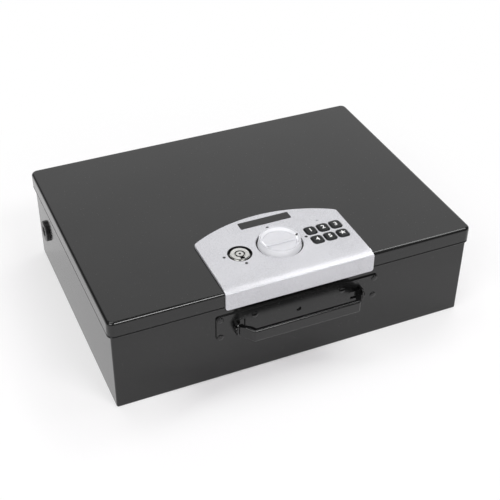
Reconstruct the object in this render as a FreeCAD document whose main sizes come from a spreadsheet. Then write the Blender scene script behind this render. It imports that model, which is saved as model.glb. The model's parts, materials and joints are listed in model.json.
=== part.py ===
"""Security cash box: steel tray, hinged lid, carry handle, and a turn-knob lock with keypad and override key.

Millimetres. +X runs right along the front, +Y runs to the rear hinges and +Z is up.
The origin is the centre of the flat bottom of the body.
"""
import FreeCAD, Part
import math
import os
from types import SimpleNamespace

import Sketcher
from FreeCAD import Rotation, Vector

SIZES = {
    # Lid and body, folded from sheet steel
    "lid_width": 360, "lid_depth": 260, "box_height": 100, "sheet": 1.2, "skirt_height": 17,
    "lid_corner": 6.5, "lid_bend": 3, "skirt_edge": 0.8, "skirt_gap": 1.3, "seat_gap": 0.3, "rim_width": 12,
    "body_corner": 2, "mouth_corner": 4, "body_bend": 1.6,
    # Clearances: around shafts and pins, around plain holes, and between flat pieces that pass each other
    "shaft_gap": 0.05, "hole_gap": 0.1, "pass_gap": 0.3,
    # Strike bar under the front rim
    "strike_length": 130, "strike_thickness": 3.4,
    # Rear hinges
    "hinge_inset": 70, "hinge_length": 50, "knuckle_length": 24, "knuckle_radius": 3,
    "hinge_pin_radius": 1.5, "leaf_thickness": 1.2, "leaf_height": 12, "hinge_gap": 0.35,
    "hinge_head_radius": 2.3, "hinge_head": 1,
    # Cable anchor on the left wall, placed from the rear face and the bottom of the body
    "anchor_from_rear": 32.3, "anchor_height": 47.3, "anchor_flange_radius": 10.8, "anchor_proud": 3.2,
    "anchor_neck_radius": 8.5, "anchor_neck": 9, "anchor_bore_radius": 5, "anchor_nut_flats": 24,
    "anchor_nut": 4, "anchor_edge": 1.2, "anchor_mouth": 1,
    # Handle plate, ears and bow on the front wall
    "handle_height": 58.25, "plate_width": 163, "plate_height": 27, "plate_rise": 1.75,
    "plate_thickness": 1.5, "plate_corner": 3, "plate_hole_radius": 2.4, "ear_spread": 125,
    "ear_thickness": 1.5, "ear_height": 12.5, "ear_reach": 8.4, "ear_round": 3, "window_width": 9,
    "pivot_reach": 5.6, "pivot_radius": 2, "pivot_head": 1.2, "pivot_head_radius": 3.2, "arm_radius": 3.6,
    "arm_thickness": 5, "bow_reach": 21.5, "grip_width": 106, "grip_thickness": 5, "grip_height": 12.5,
    "grip_edge": 1.8, "bow_bend": 2.5, "shoulder_reach": 8.5, "taper_start": 1, "taper_end": 7,
    # Rivets of the handle plate
    "rivet_spread": 155.6, "rivet_pitch": 20, "inner_rivet_spread": 88, "inner_rivet_rise": 6,
    "rivet_radius": 1.6, "rivet_head_radius": 3.2, "rivet_head": 1.2, "rivet_top_radius": 1.7,
    "rivet_tail_radius": 2.5, "rivet_tail": 1,
    # Control panel on the lid, placed from the lid's front edge
    "panel_width": 147, "panel_back": 95.5, "panel_arc": 140, "panel_thickness": 2.4, "panel_corner": 5,
    "panel_edge": 0.7, "apron_thickness": 2.2, "apron_height": 17.7, "apron_corner": 2.5,
    "facet_depth": 7.5, "facet_drop": 2.3, "apron_roll": 1.6, "stud_radius": 2, "stud_inset": 11.5,
    "stud_front": 24, "stud_pitch": 46, "stud_end": 1.6, "push_nut_radius": 3.6, "push_nut": 1,
    "label_x": 1.8, "label_setback": 83.7, "label_width": 52, "label_depth": 10, "label_thickness": 0.8,
    "label_recess": 0.6, "label_corner": 1.2,
    # Keypad
    "key_shift": 0.25, "key_setback": 37.2, "key_column_pitch": 13.1, "key_row_pitch": 15,
    "key_width": 11.6, "key_depth": 12.6, "key_corner": 3.6, "key_proud": 1.1, "key_edge": 2,
    "key_gap": 0.25, "key_flange": 0.5, "flange_thickness": 1, "key_rest_gap": 0.1, "key_room": 0.7,
    "mat_base": 1, "mat_thickness": 1.6, "mat_post_radius": 2.5, "window_gap": 0.6, "board_thickness": 1.6,
    "board_margin": 3, "board_rear": 73, "light_setback": 65, "light_radius": 1.1, "light_proud": 0.3,
    # Turn knob and its drive
    "knob_setback": 45.5, "knob_well_radius": 22.2, "knob_radius": 20.6, "knob_top": 8.5, "knob_taper": 1.3,
    "knob_lift": 0.8, "dish_radius": 17.8, "dish_floor_radius": 15.4, "dish_depth": 3.6, "bar_width": 8.4,
    "bar_height": 2.4, "knob_wall": 1.8, "knob_web": 1.9, "hub_radius": 7, "knob_edge": 0.5,
    "bar_edge": 1.4, "hub_cap": 0.8, "spindle_radius": 4, "spindle_foot_radius": 3, "bush_radius": 6.5,
    "bush_flange_radius": 9, "bush_flange": 1.2, "spindle_nut_flats": 17, "spindle_nut": 2.2,
    "crank_radius": 11, "crank_thickness": 2, "crank_pin_radius": 2, "crank_pin_drop": 0.6,
    "slot_gap": 0.35,
    # Latch bolt
    "bolt_travel": 10, "bolt_thickness": 2.4, "nose_spread": 88, "nose_width": 16, "bar_depth": 6,
    "tongue_width": 28, "tongue_end": 84, "notch_depth": 4.5, "notch_gap": 0.4, "plunger_setback": 68,
    # Solenoid that blocks the bolt
    "coil_radius": 5.2, "coil_length": 21.6, "frame_sheet": 1.2, "frame_width": 12, "frame_base": 1,
    "frame_gap": 0.2, "solenoid_reach": 12, "plunger_radius": 2, "plunger_travel": 4, "plunger_rest": 0.4,
    "tail_gap": 5, "tail_radius": 3.2, "tail_length": 2,
    # Key lock
    "lock_shift": 7.85, "lock_well_radius": 11.5, "barrel_radius": 8.6, "barrel_flange_radius": 9.4,
    "barrel_flange": 1, "barrel_length": 15.4, "lock_sink": 0.1, "plug_radius": 6, "keyway_outer": 5,
    "keyway_inner": 3.5, "keyway_depth": 5, "keyway_notch": 4.4, "notch_rim": 0.7, "notch_drop": 2,
    "lock_nut_flats": 24, "lock_nut": 3.5, "plug_stub": 0.4, "tail_post_radius": 3, "cam_thickness": 2,
    "cam_reach": 13, "cam_heel": 5.5, "cam_width": 9, "cam_round": 3, "cam_screw_radius": 1.4,
    "cam_screw_depth": 4.5, "cam_head_radius": 3.6, "cam_head": 1.6,
    # Lock case under the lid
    "case_overlap": 2.5, "case_gap": 3.5, "case_back": 96, "case_depth": 28.8, "case_wall": 2,
    "case_floor": 2.5, "case_corner": 4, "case_edge": 2.5, "rail_gap": 0.2, "rail_width": 2,
    "rail_inset": 4, "rail_front": 54.5, "rail_length": 26, "front_rail_length": 60, "guide_length": 8,
    "guide_rise": 1.6, "post_radius": 2.5, "post_spread": 32, "post_pitch": 24, "case_stud_radius": 3,
    "case_stud_inset": 5.5, "case_stud_length": 18, "case_screw_radius": 1.5, "case_screw_depth": 7,
    "case_screw_head_radius": 2.8, "case_screw_head": 1.6,
    # Battery bay, its cells, contacts and door
    "bay_gap": 1.3, "bay_wall": 1.5, "cell_radius": 7.15, "cell_length": 49.2, "cell_nub": 1,
    "cell_nub_radius": 2.7, "cell_pitch": 14.6, "cell_count": 4, "contact_thickness": 0.4,
    "contact_size": 8, "contact_gap": 0.1, "cell_lift": 0.1, "door_thickness": 1.5, "door_ledge": 1.2,
    "door_gap": 0.3, "door_corner": 2, "door_rib": 0.6, "door_rib_length": 24, "door_rib_width": 1.4,
    "door_rib_pitch": 4,
}

ROOT_THREE = math.sqrt(3)


class Length:
    """A length in mm together with the sheet expression that gives it."""

    def __init__(self, value, text):
        self.value = value
        self.text = text

    def join(self, sign, other, value):
        return Length(value, f"({self.text} {sign} {other.text})")

    def __add__(self, other):
        other = as_length(other)
        return self.join("+", other, self.value + other.value)

    def __sub__(self, other):
        other = as_length(other)
        return self.join("-", other, self.value - other.value)

    def __mul__(self, other):
        other = as_length(other)
        return self.join("*", other, self.value * other.value)

    def __truediv__(self, other):
        other = as_length(other)
        return self.join("/", other, self.value / other.value)

    def __radd__(self, other):
        return as_length(other) + self

    def __rsub__(self, other):
        return as_length(other) - self

    def __rmul__(self, other):
        return as_length(other) * self

    def __neg__(self):
        return Length(-self.value, f"(0 - {self.text})")


def as_length(item):
    """The item as a Length; a bare number becomes its own text."""
    if isinstance(item, Length):
        return item
    return Length(float(item), f"({float(item)})")


def fill_sheet(document):
    """Write the driving sizes to a sheet and give each one back as a Length."""
    sheet = document.addObject("Spreadsheet::Sheet", "Sizes")
    for row, (name, number) in enumerate(SIZES.items(), start=1):
        sheet.set(f"A{row}", name)
        sheet.set(f"B{row}", str(number))
        sheet.setAlias(f"B{row}", name)
    document.recompute()
    return SimpleNamespace(**{name: Length(float(sheet.get(name)), f"Sizes.{name}") for name in SIZES})


doc = FreeCAD.newDocument("CashBox")
S = fill_sheet(doc)
nodes = []

# Places that several pieces share
BODY_X = S.lid_width / 2 - S.sheet - S.skirt_gap
BODY_Y = S.lid_depth / 2 - S.sheet - S.skirt_gap
LID_UNDER = S.box_height - S.sheet
RIM_TOP = LID_UNDER - S.seat_gap
RIM_UNDER = RIM_TOP - S.sheet
SKIRT_END = S.box_height - S.skirt_height
FRONT = -(S.lid_depth / 2)
PANEL_TOP = S.box_height + S.panel_thickness
KNOB_Y = FRONT + S.knob_setback
WELL_TO_SIDE = (S.knob_well_radius + S.panel_width / 2) / 2
KEY_X = WELL_TO_SIDE + S.key_shift
LOCK_X = S.lock_shift - WELL_TO_SIDE
STUD_X = S.panel_width / 2 - S.stud_inset
BOLT_TOP = RIM_UNDER - S.strike_thickness - S.pass_gap
BOLT_LOW = BOLT_TOP - S.bolt_thickness
BOLT_MID = BOLT_TOP - S.bolt_thickness / 2
CRANK_LOW = BOLT_TOP + S.pass_gap
CRANK_TOP = CRANK_LOW + S.crank_thickness
CASE_LOW = LID_UNDER - S.case_depth
CASE_INNER = CASE_LOW + S.case_floor
CASE_FRONT = -(BODY_Y - S.rim_width - S.case_gap)
CASE_BACK = FRONT + S.case_back
CASE_X = S.panel_width / 2 + S.case_overlap
NOSE_LENGTH = S.case_wall + S.bolt_travel + S.pass_gap
HINGE_X = S.lid_width / 2 - S.hinge_inset
HINGE_Y = BODY_Y + S.hinge_gap + S.knuckle_radius
HINGE_Z = SKIRT_END - S.hinge_gap - S.knuckle_radius
ANCHOR_Y = BODY_Y - S.anchor_from_rear
PLATE_FACE = -(BODY_Y + S.plate_thickness)
PIVOT_Y = -(BODY_Y + S.pivot_reach)
PLATE_MID = S.handle_height + S.plate_rise
EAR_X = S.ear_spread / 2
KEY_LOW = S.box_height - S.key_rest_gap - S.flange_thickness
BOARD_TOP = KEY_LOW - S.key_room - S.mat_thickness
KEY_FRONT = FRONT + S.key_setback
KEY_REAR = KEY_FRONT + S.key_row_pitch
PLUNGER_Y = FRONT + S.plunger_setback
BAY_END = CASE_X - S.case_stud_inset - S.case_stud_radius - S.bay_gap - S.bay_wall
BAY_X = BAY_END - S.cell_length - S.cell_nub - 2 * (S.contact_thickness + S.contact_gap)
BAY_HALF = S.cell_pitch * S.cell_count / 2 + S.pass_gap
BAY_MID = CASE_FRONT + S.case_wall + S.bay_wall + BAY_HALF
BAY_LOW = CASE_LOW + S.door_thickness
CELL_Z = BAY_LOW + S.cell_lift + S.cell_radius
BAY_TOP = CELL_Z + S.cell_radius + S.pass_gap


def drive(item, name, size):
    """Bind one property of a document object to a length."""
    item.setExpression(name, as_length(size).text)


def keep(item, label):
    """Give a finished piece its name and put it on the list that is written out."""
    item.Label = label
    nodes.append(item)
    return item


def place(item, x, y, z):
    """Put a primitive at a point."""
    for axis, size in zip("xyz", (x, y, z)):
        drive(item, f".Placement.Base.{axis}", size)
    return item


def block(name, low, high):
    """A box between two corners."""
    item = doc.addObject("Part::Box", name)
    for side, start, end in zip(("Length", "Width", "Height"), low, high):
        drive(item, side, as_length(end) - start)
    return place(item, *low)


def rod(name, radius, start, length, axis="z"):
    """A round rod from a start point along +X, +Y or +Z."""
    item = doc.addObject("Part::Cylinder", name)
    drive(item, "Radius", radius)
    drive(item, "Height", length)
    turns = {"x": Rotation(Vector(0, 1, 0), 90), "y": Rotation(Vector(1, 0, 0), -90), "z": Rotation()}
    item.Placement = FreeCAD.Placement(Vector(), turns[axis])
    return place(item, *start)


def join(name, items):
    """One solid from several."""
    item = doc.addObject("Part::MultiFuse", name)
    item.Shapes = items
    item.Refine = True
    return item


def remove(name, base, tool):
    """The base with the tool cut away."""
    item = doc.addObject("Part::Cut", name)
    item.Base = base
    item.Tool = tool
    return item


def group(name, items):
    """Several separate solids that count as one piece list entry."""
    item = doc.addObject("Part::Compound", name)
    item.Links = items
    return item


def new_body(label):
    """A body that is written out under its label."""
    return keep(doc.addObject("PartDesign::Body", label), label)


def new_sketch(body, name, plane, offset=(0, 0, 0)):
    """A sketch on one of the body's own origin planes, moved in that plane's axes."""
    sketch = body.newObject("Sketcher::SketchObject", name)
    support = next(item for item in body.Origin.OriginFeatures if item.Role == plane)
    sketch.AttachmentSupport = [(support, "")]
    sketch.MapMode = "FlatFace"
    for axis, size in zip("xyz", offset):
        drive(sketch, f".AttachmentOffset.Base.{axis}", size)
    return sketch


def fix_point(sketch, edge, end, x, y):
    """Hold one end or centre of a sketch edge at a point."""
    for kind, size in (("DistanceX", as_length(x)), ("DistanceY", as_length(y))):
        index = sketch.addConstraint(Sketcher.Constraint(kind, -1, 1, edge, end, size.value))
        drive(sketch, f"Constraints[{index}]", size)


def draw_polygon(sketch, points):
    """A closed outline of straight edges through the points."""
    corners = [Vector(as_length(x).value, as_length(y).value, 0) for x, y in points]
    first = sketch.GeometryCount
    count = len(points)
    for index in range(count):
        sketch.addGeometry(Part.LineSegment(corners[index], corners[(index + 1) % count]), False)
    for index in range(count):
        following = first + (index + 1) % count
        sketch.addConstraint(Sketcher.Constraint("Coincident", first + index, 2, following, 1))
    for index, (x, y) in enumerate(points):
        fix_point(sketch, first + index, 1, x, y)


def draw_rectangle(sketch, left, low, right, high):
    """A rectangle between two corners."""
    draw_polygon(sketch, [(left, low), (right, low), (right, high), (left, high)])


def draw_rounded(sketch, left, low, right, high, radius):
    """A rectangle between two corners whose own corners are rounded."""
    centres = [(right - radius, low + radius), (right - radius, high - radius),
               (left + radius, high - radius), (left + radius, low + radius)]
    arcs = []
    for quarter, (x, y) in enumerate(centres):
        circle = Part.Circle(Vector(x.value, y.value, 0), Vector(0, 0, 1), radius.value)
        start = math.radians(90 * quarter - 90)
        arcs.append(sketch.addGeometry(Part.ArcOfCircle(circle, start, start + math.pi / 2), False))
    sides = []
    for quarter in range(4):
        ends = [sketch.getPoint(arcs[quarter], 2), sketch.getPoint(arcs[(quarter + 1) % 4], 1)]
        sides.append(sketch.addGeometry(Part.LineSegment(*ends), False))
    for quarter, (x, y) in enumerate(centres):
        sketch.addConstraint(Sketcher.Constraint("Tangent", arcs[quarter], 2, sides[quarter], 1))
        sketch.addConstraint(Sketcher.Constraint("Tangent", sides[quarter], 2, arcs[(quarter + 1) % 4], 1))
        fix_point(sketch, arcs[quarter], 3, x, y)
        index = sketch.addConstraint(Sketcher.Constraint("Radius", arcs[quarter], radius.value))
        drive(sketch, f"Constraints[{index}]", radius)


def draw_circle(sketch, x, y, radius):
    """A circle about a point."""
    centre = Vector(as_length(x).value, as_length(y).value, 0)
    edge = sketch.addGeometry(Part.Circle(centre, Vector(0, 0, 1), radius.value), False)
    fix_point(sketch, edge, 3, x, y)
    index = sketch.addConstraint(Sketcher.Constraint("Radius", edge, radius.value))
    drive(sketch, f"Constraints[{index}]", radius)


def draw_hexagon(sketch, x, y, flats):
    """A hexagon about a point, by its size across flats."""
    points = []
    for step in range(6):
        angle = math.radians(60 * step)
        reach = flats / ROOT_THREE
        points.append((x + reach * round(math.cos(angle), 9), y + reach * round(math.sin(angle), 9)))
    draw_polygon(sketch, points)


def pad(body, sketch, length, away=False, both=False):
    """Add material along the sketch's normal, against it, or half to each side."""
    feature = body.newObject("PartDesign::Pad", sketch.Name + "Pad")
    feature.Profile = sketch
    drive(feature, "Length", length)
    feature.Reversed = away
    if both:
        feature.SideType = "Symmetric"
    return feature


def pocket(body, sketch, length, along=False, both=False):
    """Cut against the sketch's normal, along it, or half to each side."""
    feature = body.newObject("PartDesign::Pocket", sketch.Name + "Pocket")
    feature.Profile = sketch
    drive(feature, "Length", length)
    feature.Reversed = along
    if both:
        feature.SideType = "Symmetric"
    return feature


def spin(body, sketch, axis):
    """Turn a profile once round an axis of its own sketch."""
    feature = body.newObject("PartDesign::Revolution", sketch.Name + "Turn")
    feature.Profile = sketch
    feature.ReferenceAxis = (sketch, [axis])
    feature.Angle = 360
    return feature


def soften(body, name, radius, wanted):
    """Round the edges of the body that the test picks out."""
    doc.recompute()
    base = body.Tip
    chosen = [f"Edge{index}" for index, edge in enumerate(base.Shape.Edges, start=1) if wanted(edge.BoundBox)]
    feature = body.newObject("PartDesign::Fillet", name)
    feature.Base = (base, chosen)
    drive(feature, "Radius", radius)
    return feature


def close(number, size):
    """Whether a coordinate lies at a length."""
    return abs(number - as_length(size).value) < 0.01


def upright(box):
    """Whether an edge's box is that of a vertical line."""
    return box.XLength < 0.01 and box.YLength < 0.01 and box.ZLength > 0.01


def along_x(box):
    """Whether an edge's box is that of a line along X."""
    return box.YLength < 0.01 and box.ZLength < 0.01 and box.XLength > 0.01


def along_y(box):
    """Whether an edge's box is that of a line along Y."""
    return box.XLength < 0.01 and box.ZLength < 0.01 and box.YLength > 0.01


def level(box, height):
    """Whether an edge lies in the plane at a height."""
    return box.ZLength < 0.01 and close(box.ZMin, height)


def rivet_places():
    """The plate's rivets on the front wall as (x, z): four at the corners and two inside."""
    corners = [(side * S.rivet_spread / 2, PLATE_MID + rise * S.rivet_pitch / 2)
               for side in (-1, 1) for rise in (-1, 1)]
    inner = [(side * S.inner_rivet_spread / 2, PLATE_MID + S.inner_rivet_rise) for side in (-1, 1)]
    return corners + inner


def make_body_shell():
    """The tray: walls and floor of one sheet, with a rim turned inward at the top."""
    body = new_body("body_shell")
    outline = new_sketch(body, "BodyOutline", "XY_Plane")
    draw_rectangle(outline, -BODY_X, -BODY_Y, BODY_X, BODY_Y)
    pad(body, outline, RIM_TOP)
    soften(body, "BodyCorners", S.body_corner, upright)
    soften(body, "BodyBends", S.body_bend, lambda box: level(box, 0) or level(box, RIM_TOP))
    cavity = new_sketch(body, "BodyCavity", "XY_Plane", (0, 0, RIM_UNDER))
    inner_corner = S.body_corner - S.sheet
    draw_rounded(cavity, S.sheet - BODY_X, S.sheet - BODY_Y, BODY_X - S.sheet, BODY_Y - S.sheet, inner_corner)
    pocket(body, cavity, RIM_UNDER - S.sheet)
    mouth = new_sketch(body, "BodyMouth", "XY_Plane", (0, 0, RIM_TOP))
    mouth_x = BODY_X - S.rim_width
    mouth_y = BODY_Y - S.rim_width
    draw_rounded(mouth, -mouth_x, -mouth_y, mouth_x, mouth_y, S.mouth_corner)
    pocket(body, mouth, 2 * S.sheet)
    anchor = new_sketch(body, "AnchorHole", "YZ_Plane", (0, 0, -BODY_X))
    draw_circle(anchor, ANCHOR_Y, S.anchor_height, S.anchor_neck_radius + S.hole_gap)
    pocket(body, anchor, 2 * S.sheet, along=True)
    rivets = new_sketch(body, "BodyRivetHoles", "XZ_Plane", (0, 0, BODY_Y))
    for x, z in rivet_places():
        draw_circle(rivets, x, z, S.rivet_radius + S.hole_gap)
    pocket(body, rivets, 2 * S.sheet)


def make_strike():
    """The bar welded under the front rim that the bolt noses catch behind."""
    half = S.strike_length / 2
    low = (-half, S.sheet - BODY_Y, RIM_UNDER - S.strike_thickness)
    high = (half, S.rim_width - BODY_Y, RIM_UNDER)
    keep(block("StrikeBar", low, high), "strike_bar")


def make_handle_plate():
    """The plate riveted to the front wall, with two ears bent out beside their windows."""
    body = new_body("handle_plate")
    low = PLATE_MID - S.plate_height / 2
    high = PLATE_MID + S.plate_height / 2
    outline = new_sketch(body, "PlateOutline", "XZ_Plane", (0, 0, BODY_Y))
    draw_rectangle(outline, -S.plate_width / 2, low, S.plate_width / 2, high)
    pad(body, outline, S.plate_thickness)
    soften(body, "PlateCorners", S.plate_corner, along_y)
    ear_low = S.handle_height - S.ear_height / 2
    ear_high = S.handle_height + S.ear_height / 2
    for side, word in ((-1, "Left"), (1, "Right")):
        ear = new_sketch(body, word + "Ear", "YZ_Plane", (0, 0, side * EAR_X))
        draw_rectangle(ear, -(BODY_Y + S.ear_reach), ear_low, -BODY_Y, ear_high)
        pad(body, ear, S.ear_thickness, away=side < 0)
    soften(body, "EarEnds", S.ear_round,
           lambda box: along_x(box) and close(box.YMin, -(BODY_Y + S.ear_reach)))
    windows = new_sketch(body, "PlateWindows", "XZ_Plane", (0, 0, -PLATE_FACE))
    draw_rectangle(windows, EAR_X - S.window_width, ear_low, EAR_X, ear_high)
    draw_rectangle(windows, -EAR_X, ear_low, S.window_width - EAR_X, ear_high)
    pocket(body, windows, S.plate_thickness)
    holes = new_sketch(body, "PlateHoles", "XZ_Plane", (0, 0, -PLATE_FACE))
    draw_circle(holes, 0, S.handle_height, S.plate_hole_radius)
    for x, z in rivet_places():
        draw_circle(holes, x, z, S.rivet_radius + S.hole_gap)
    pocket(body, holes, S.plate_thickness)
    pivots = new_sketch(body, "PlatePivots", "YZ_Plane")
    draw_circle(pivots, PIVOT_Y, S.handle_height, S.pivot_radius + S.shaft_gap)
    pocket(body, pivots, S.ear_spread + 4 * S.ear_thickness, both=True)


def make_carry_handle():
    """The bow: a straight grip whose sloped arms taper to round eyes between the ears."""
    body = new_body("carry_handle")
    arm_x = EAR_X - S.pass_gap
    inner_x = arm_x - S.arm_thickness
    heel_y = PIVOT_Y + S.arm_radius
    front_y = -(BODY_Y + S.bow_reach)
    rear_y = front_y + S.grip_thickness
    shoulder_y = -(BODY_Y + S.shoulder_reach)
    grip_x = S.grip_width / 2
    inner_grip_x = grip_x - S.grip_thickness / 2
    outer = [(arm_x, heel_y), (arm_x, shoulder_y), (grip_x, front_y)]
    inner = [(inner_grip_x, rear_y), (inner_x, shoulder_y + S.arm_thickness / 2), (inner_x, heel_y)]
    right = outer + inner
    left = [(-x, y) for x, y in right]
    plan = new_sketch(body, "BowPlan", "XY_Plane", (0, 0, S.handle_height))
    draw_polygon(plan, left[:3] + right[2::-1] + right[:2:-1] + left[3:])
    pad(body, plan, S.grip_height, both=True)
    soften(body, "BowBends", S.bow_bend,
           lambda box: upright(box) and (close(box.YMin, front_y) or close(box.YMin, shoulder_y)))
    taper_from = PIVOT_Y - S.taper_start
    taper_to = taper_from - S.taper_end
    for sign, word in ((1, "Upper"), (-1, "Lower")):
        near = S.handle_height + sign * S.arm_radius
        far = S.handle_height + sign * S.grip_height / 2
        wedge = new_sketch(body, word + "Taper", "YZ_Plane")
        draw_polygon(wedge, [(heel_y, near), (taper_from, near), (taper_to, far), (heel_y, far)])
        pocket(body, wedge, S.plate_width, both=True)
    soften(body, "ArmEyes", S.arm_radius * 0.97, lambda box: along_x(box) and close(box.YMax, heel_y))
    soften(body, "GripEdges", S.grip_edge,
           lambda box: along_x(box) and (close(box.YMin, front_y) or close(box.YMin, rear_y)))
    eyes = new_sketch(body, "BowEyes", "YZ_Plane")
    draw_circle(eyes, PIVOT_Y, S.handle_height, S.pivot_radius + S.shaft_gap)
    pocket(body, eyes, S.plate_width, both=True)


def make_handle_pins():
    """The headed pins that hold the bow between the ears."""
    shank = S.arm_thickness + S.pass_gap + S.ear_thickness
    outer = EAR_X + S.ear_thickness
    for side, word in ((-1, "left"), (1, "right")):
        start = outer - shank if side > 0 else -outer
        head = outer if side > 0 else -(outer + S.pivot_head)
        pieces = [rod(f"PinShank_{word}", S.pivot_radius, (start, PIVOT_Y, S.handle_height), shank, "x"),
                  rod(f"PinHead_{word}", S.pivot_head_radius, (head, PIVOT_Y, S.handle_height),
                      S.pivot_head, "x")]
        keep(join(f"HandlePin_{word}", pieces), f"handle_pin_{word}")


def make_handle_rivets():
    """Blind rivets through the plate and the front wall."""
    rivets = []
    grip = S.plate_thickness + S.sheet
    for index, (x, z) in enumerate(rivet_places()):
        shank = rod(f"RivetShank{index}", S.rivet_radius, (x, PLATE_FACE, z), grip, "y")
        tail = rod(f"RivetTail{index}", S.rivet_tail_radius, (x, S.sheet - BODY_Y, z), S.rivet_tail, "y")
        head = doc.addObject("Part::Cone", f"RivetHead{index}")
        drive(head, "Radius1", S.rivet_head_radius)
        drive(head, "Radius2", S.rivet_top_radius)
        drive(head, "Height", S.rivet_head)
        head.Placement = FreeCAD.Placement(Vector(), Rotation(Vector(1, 0, 0), 90))
        place(head, x, PLATE_FACE, z)
        rivets.append(join(f"Rivet{index}", [shank, tail, head]))
    keep(group("HandleRivets", rivets), "handle_rivets")


def make_hinge(side, word):
    """One butt hinge: a leaf welded to the rear wall, a leaf on the lid's skirt, and the pin."""
    centre = side * HINGE_X
    half = S.hinge_length / 2
    middle = S.knuckle_length / 2
    outer = middle + S.pass_gap
    tall = S.leaf_height
    leaf_top = HINGE_Z - S.knuckle_radius - S.pass_gap
    body_back = BODY_Y + S.leaf_thickness
    body_pieces = [block(f"BodyLeaf_{word}", (centre - half, BODY_Y, leaf_top - tall),
                         (centre + half, body_back, leaf_top)),
                   block(f"BodyTab_{word}", (centre - middle, BODY_Y, leaf_top),
                         (centre + middle, body_back, HINGE_Z)),
                   rod(f"BodyKnuckle_{word}", S.knuckle_radius, (centre - middle, HINGE_Y, HINGE_Z),
                       S.knuckle_length, "x")]
    skirt = S.lid_depth / 2
    skirt_back = skirt + S.leaf_thickness
    lid_pieces = [block(f"LidLeaf_{word}", (centre - half, skirt, SKIRT_END),
                        (centre + half, skirt_back, SKIRT_END + tall))]
    for end, place_word in ((-1, "a"), (1, "b")):
        low_x = centre + outer if end > 0 else centre - half
        high_x = centre + half if end > 0 else centre - outer
        lid_pieces.append(block(f"LidTab_{word}_{place_word}", (low_x, skirt, HINGE_Z),
                                (high_x, skirt_back, SKIRT_END)))
        lid_pieces.append(rod(f"LidKnuckle_{word}_{place_word}", S.knuckle_radius, (low_x, HINGE_Y, HINGE_Z),
                              half - outer, "x"))
    bore_radius = S.hinge_pin_radius + S.shaft_gap
    for name, pieces in (("body", body_pieces), ("lid", lid_pieces)):
        solid = join(f"HingeSolid_{name}_{word}", pieces)
        bore = rod(f"HingeBore_{name}_{word}", bore_radius, (centre - half, HINGE_Y, HINGE_Z),
                   S.hinge_length, "x")
        keep(remove(f"HingeLeaf_{name}_{word}", solid, bore), f"hinge_{name}_leaf_{word}")
    head_gap = half + S.pass_gap
    pin = rod(f"HingeShank_{word}", S.hinge_pin_radius, (centre - head_gap, HINGE_Y, HINGE_Z),
              2 * head_gap, "x")
    heads = [rod(f"HingeHead_{word}_{index}", S.hinge_head_radius, (start, HINGE_Y, HINGE_Z),
                 S.hinge_head, "x")
             for index, start in enumerate((centre - head_gap - S.hinge_head, centre + head_gap))]
    keep(join(f"HingePin_{word}", [pin] + heads), f"hinge_pin_{word}")


def make_cable_anchor():
    """The flanged bush for a tether cable in the left wall, and the nut that holds it."""
    body = new_body("cable_anchor")
    profile = new_sketch(body, "AnchorProfile", "XY_Plane", (-BODY_X, ANCHOR_Y, S.anchor_height))
    draw_polygon(profile, [(-S.anchor_proud, S.anchor_bore_radius), (-S.anchor_proud, S.anchor_flange_radius),
                           (0, S.anchor_flange_radius), (0, S.anchor_neck_radius),
                           (S.anchor_neck, S.anchor_neck_radius), (S.anchor_neck, S.anchor_bore_radius)])
    spin(body, profile, "H_Axis")
    face = -(BODY_X + S.anchor_proud)
    soften(body, "AnchorEdge", S.anchor_edge,
           lambda box: box.XLength < 0.01 and close(box.XMin, face)
           and box.YLength > S.anchor_flange_radius.value)
    soften(body, "AnchorMouth", S.anchor_mouth,
           lambda box: box.XLength < 0.01 and close(box.XMin, face)
           and box.YLength < S.anchor_flange_radius.value)
    nut = new_body("anchor_nut")
    outline = new_sketch(nut, "AnchorNutOutline", "YZ_Plane", (0, 0, S.sheet - BODY_X))
    draw_hexagon(outline, ANCHOR_Y, S.anchor_height, S.anchor_nut_flats)
    draw_circle(outline, ANCHOR_Y, S.anchor_height, S.anchor_neck_radius + S.shaft_gap)
    pad(nut, outline, S.anchor_nut)


def stud_places():
    """The studs under the control panel as (x, y)."""
    return [(side * STUD_X, FRONT + S.stud_front + row * S.stud_pitch) for side in (-1, 1) for row in (0, 1)]


def key_places():
    """The keys as (name, x, y): the rear row is 1 to 3, the front row 4, 5 and the star."""
    names = (("key_1", "key_2", "key_3"), ("key_4", "key_5", "key_star"))
    return [(name, KEY_X + (column - 1) * S.key_column_pitch, y)
            for row, y in zip(names, (KEY_REAR, KEY_FRONT)) for column, name in enumerate(row)]


def draw_key_field(sketch, margin):
    """A rectangle round all the key flanges with a margin."""
    reach_x = S.key_column_pitch + S.key_width / 2 + S.key_flange + margin
    reach_y = S.key_depth / 2 + S.key_flange + margin
    draw_rectangle(sketch, KEY_X - reach_x, KEY_FRONT - reach_y, KEY_X + reach_x, KEY_REAR + reach_y)


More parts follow.
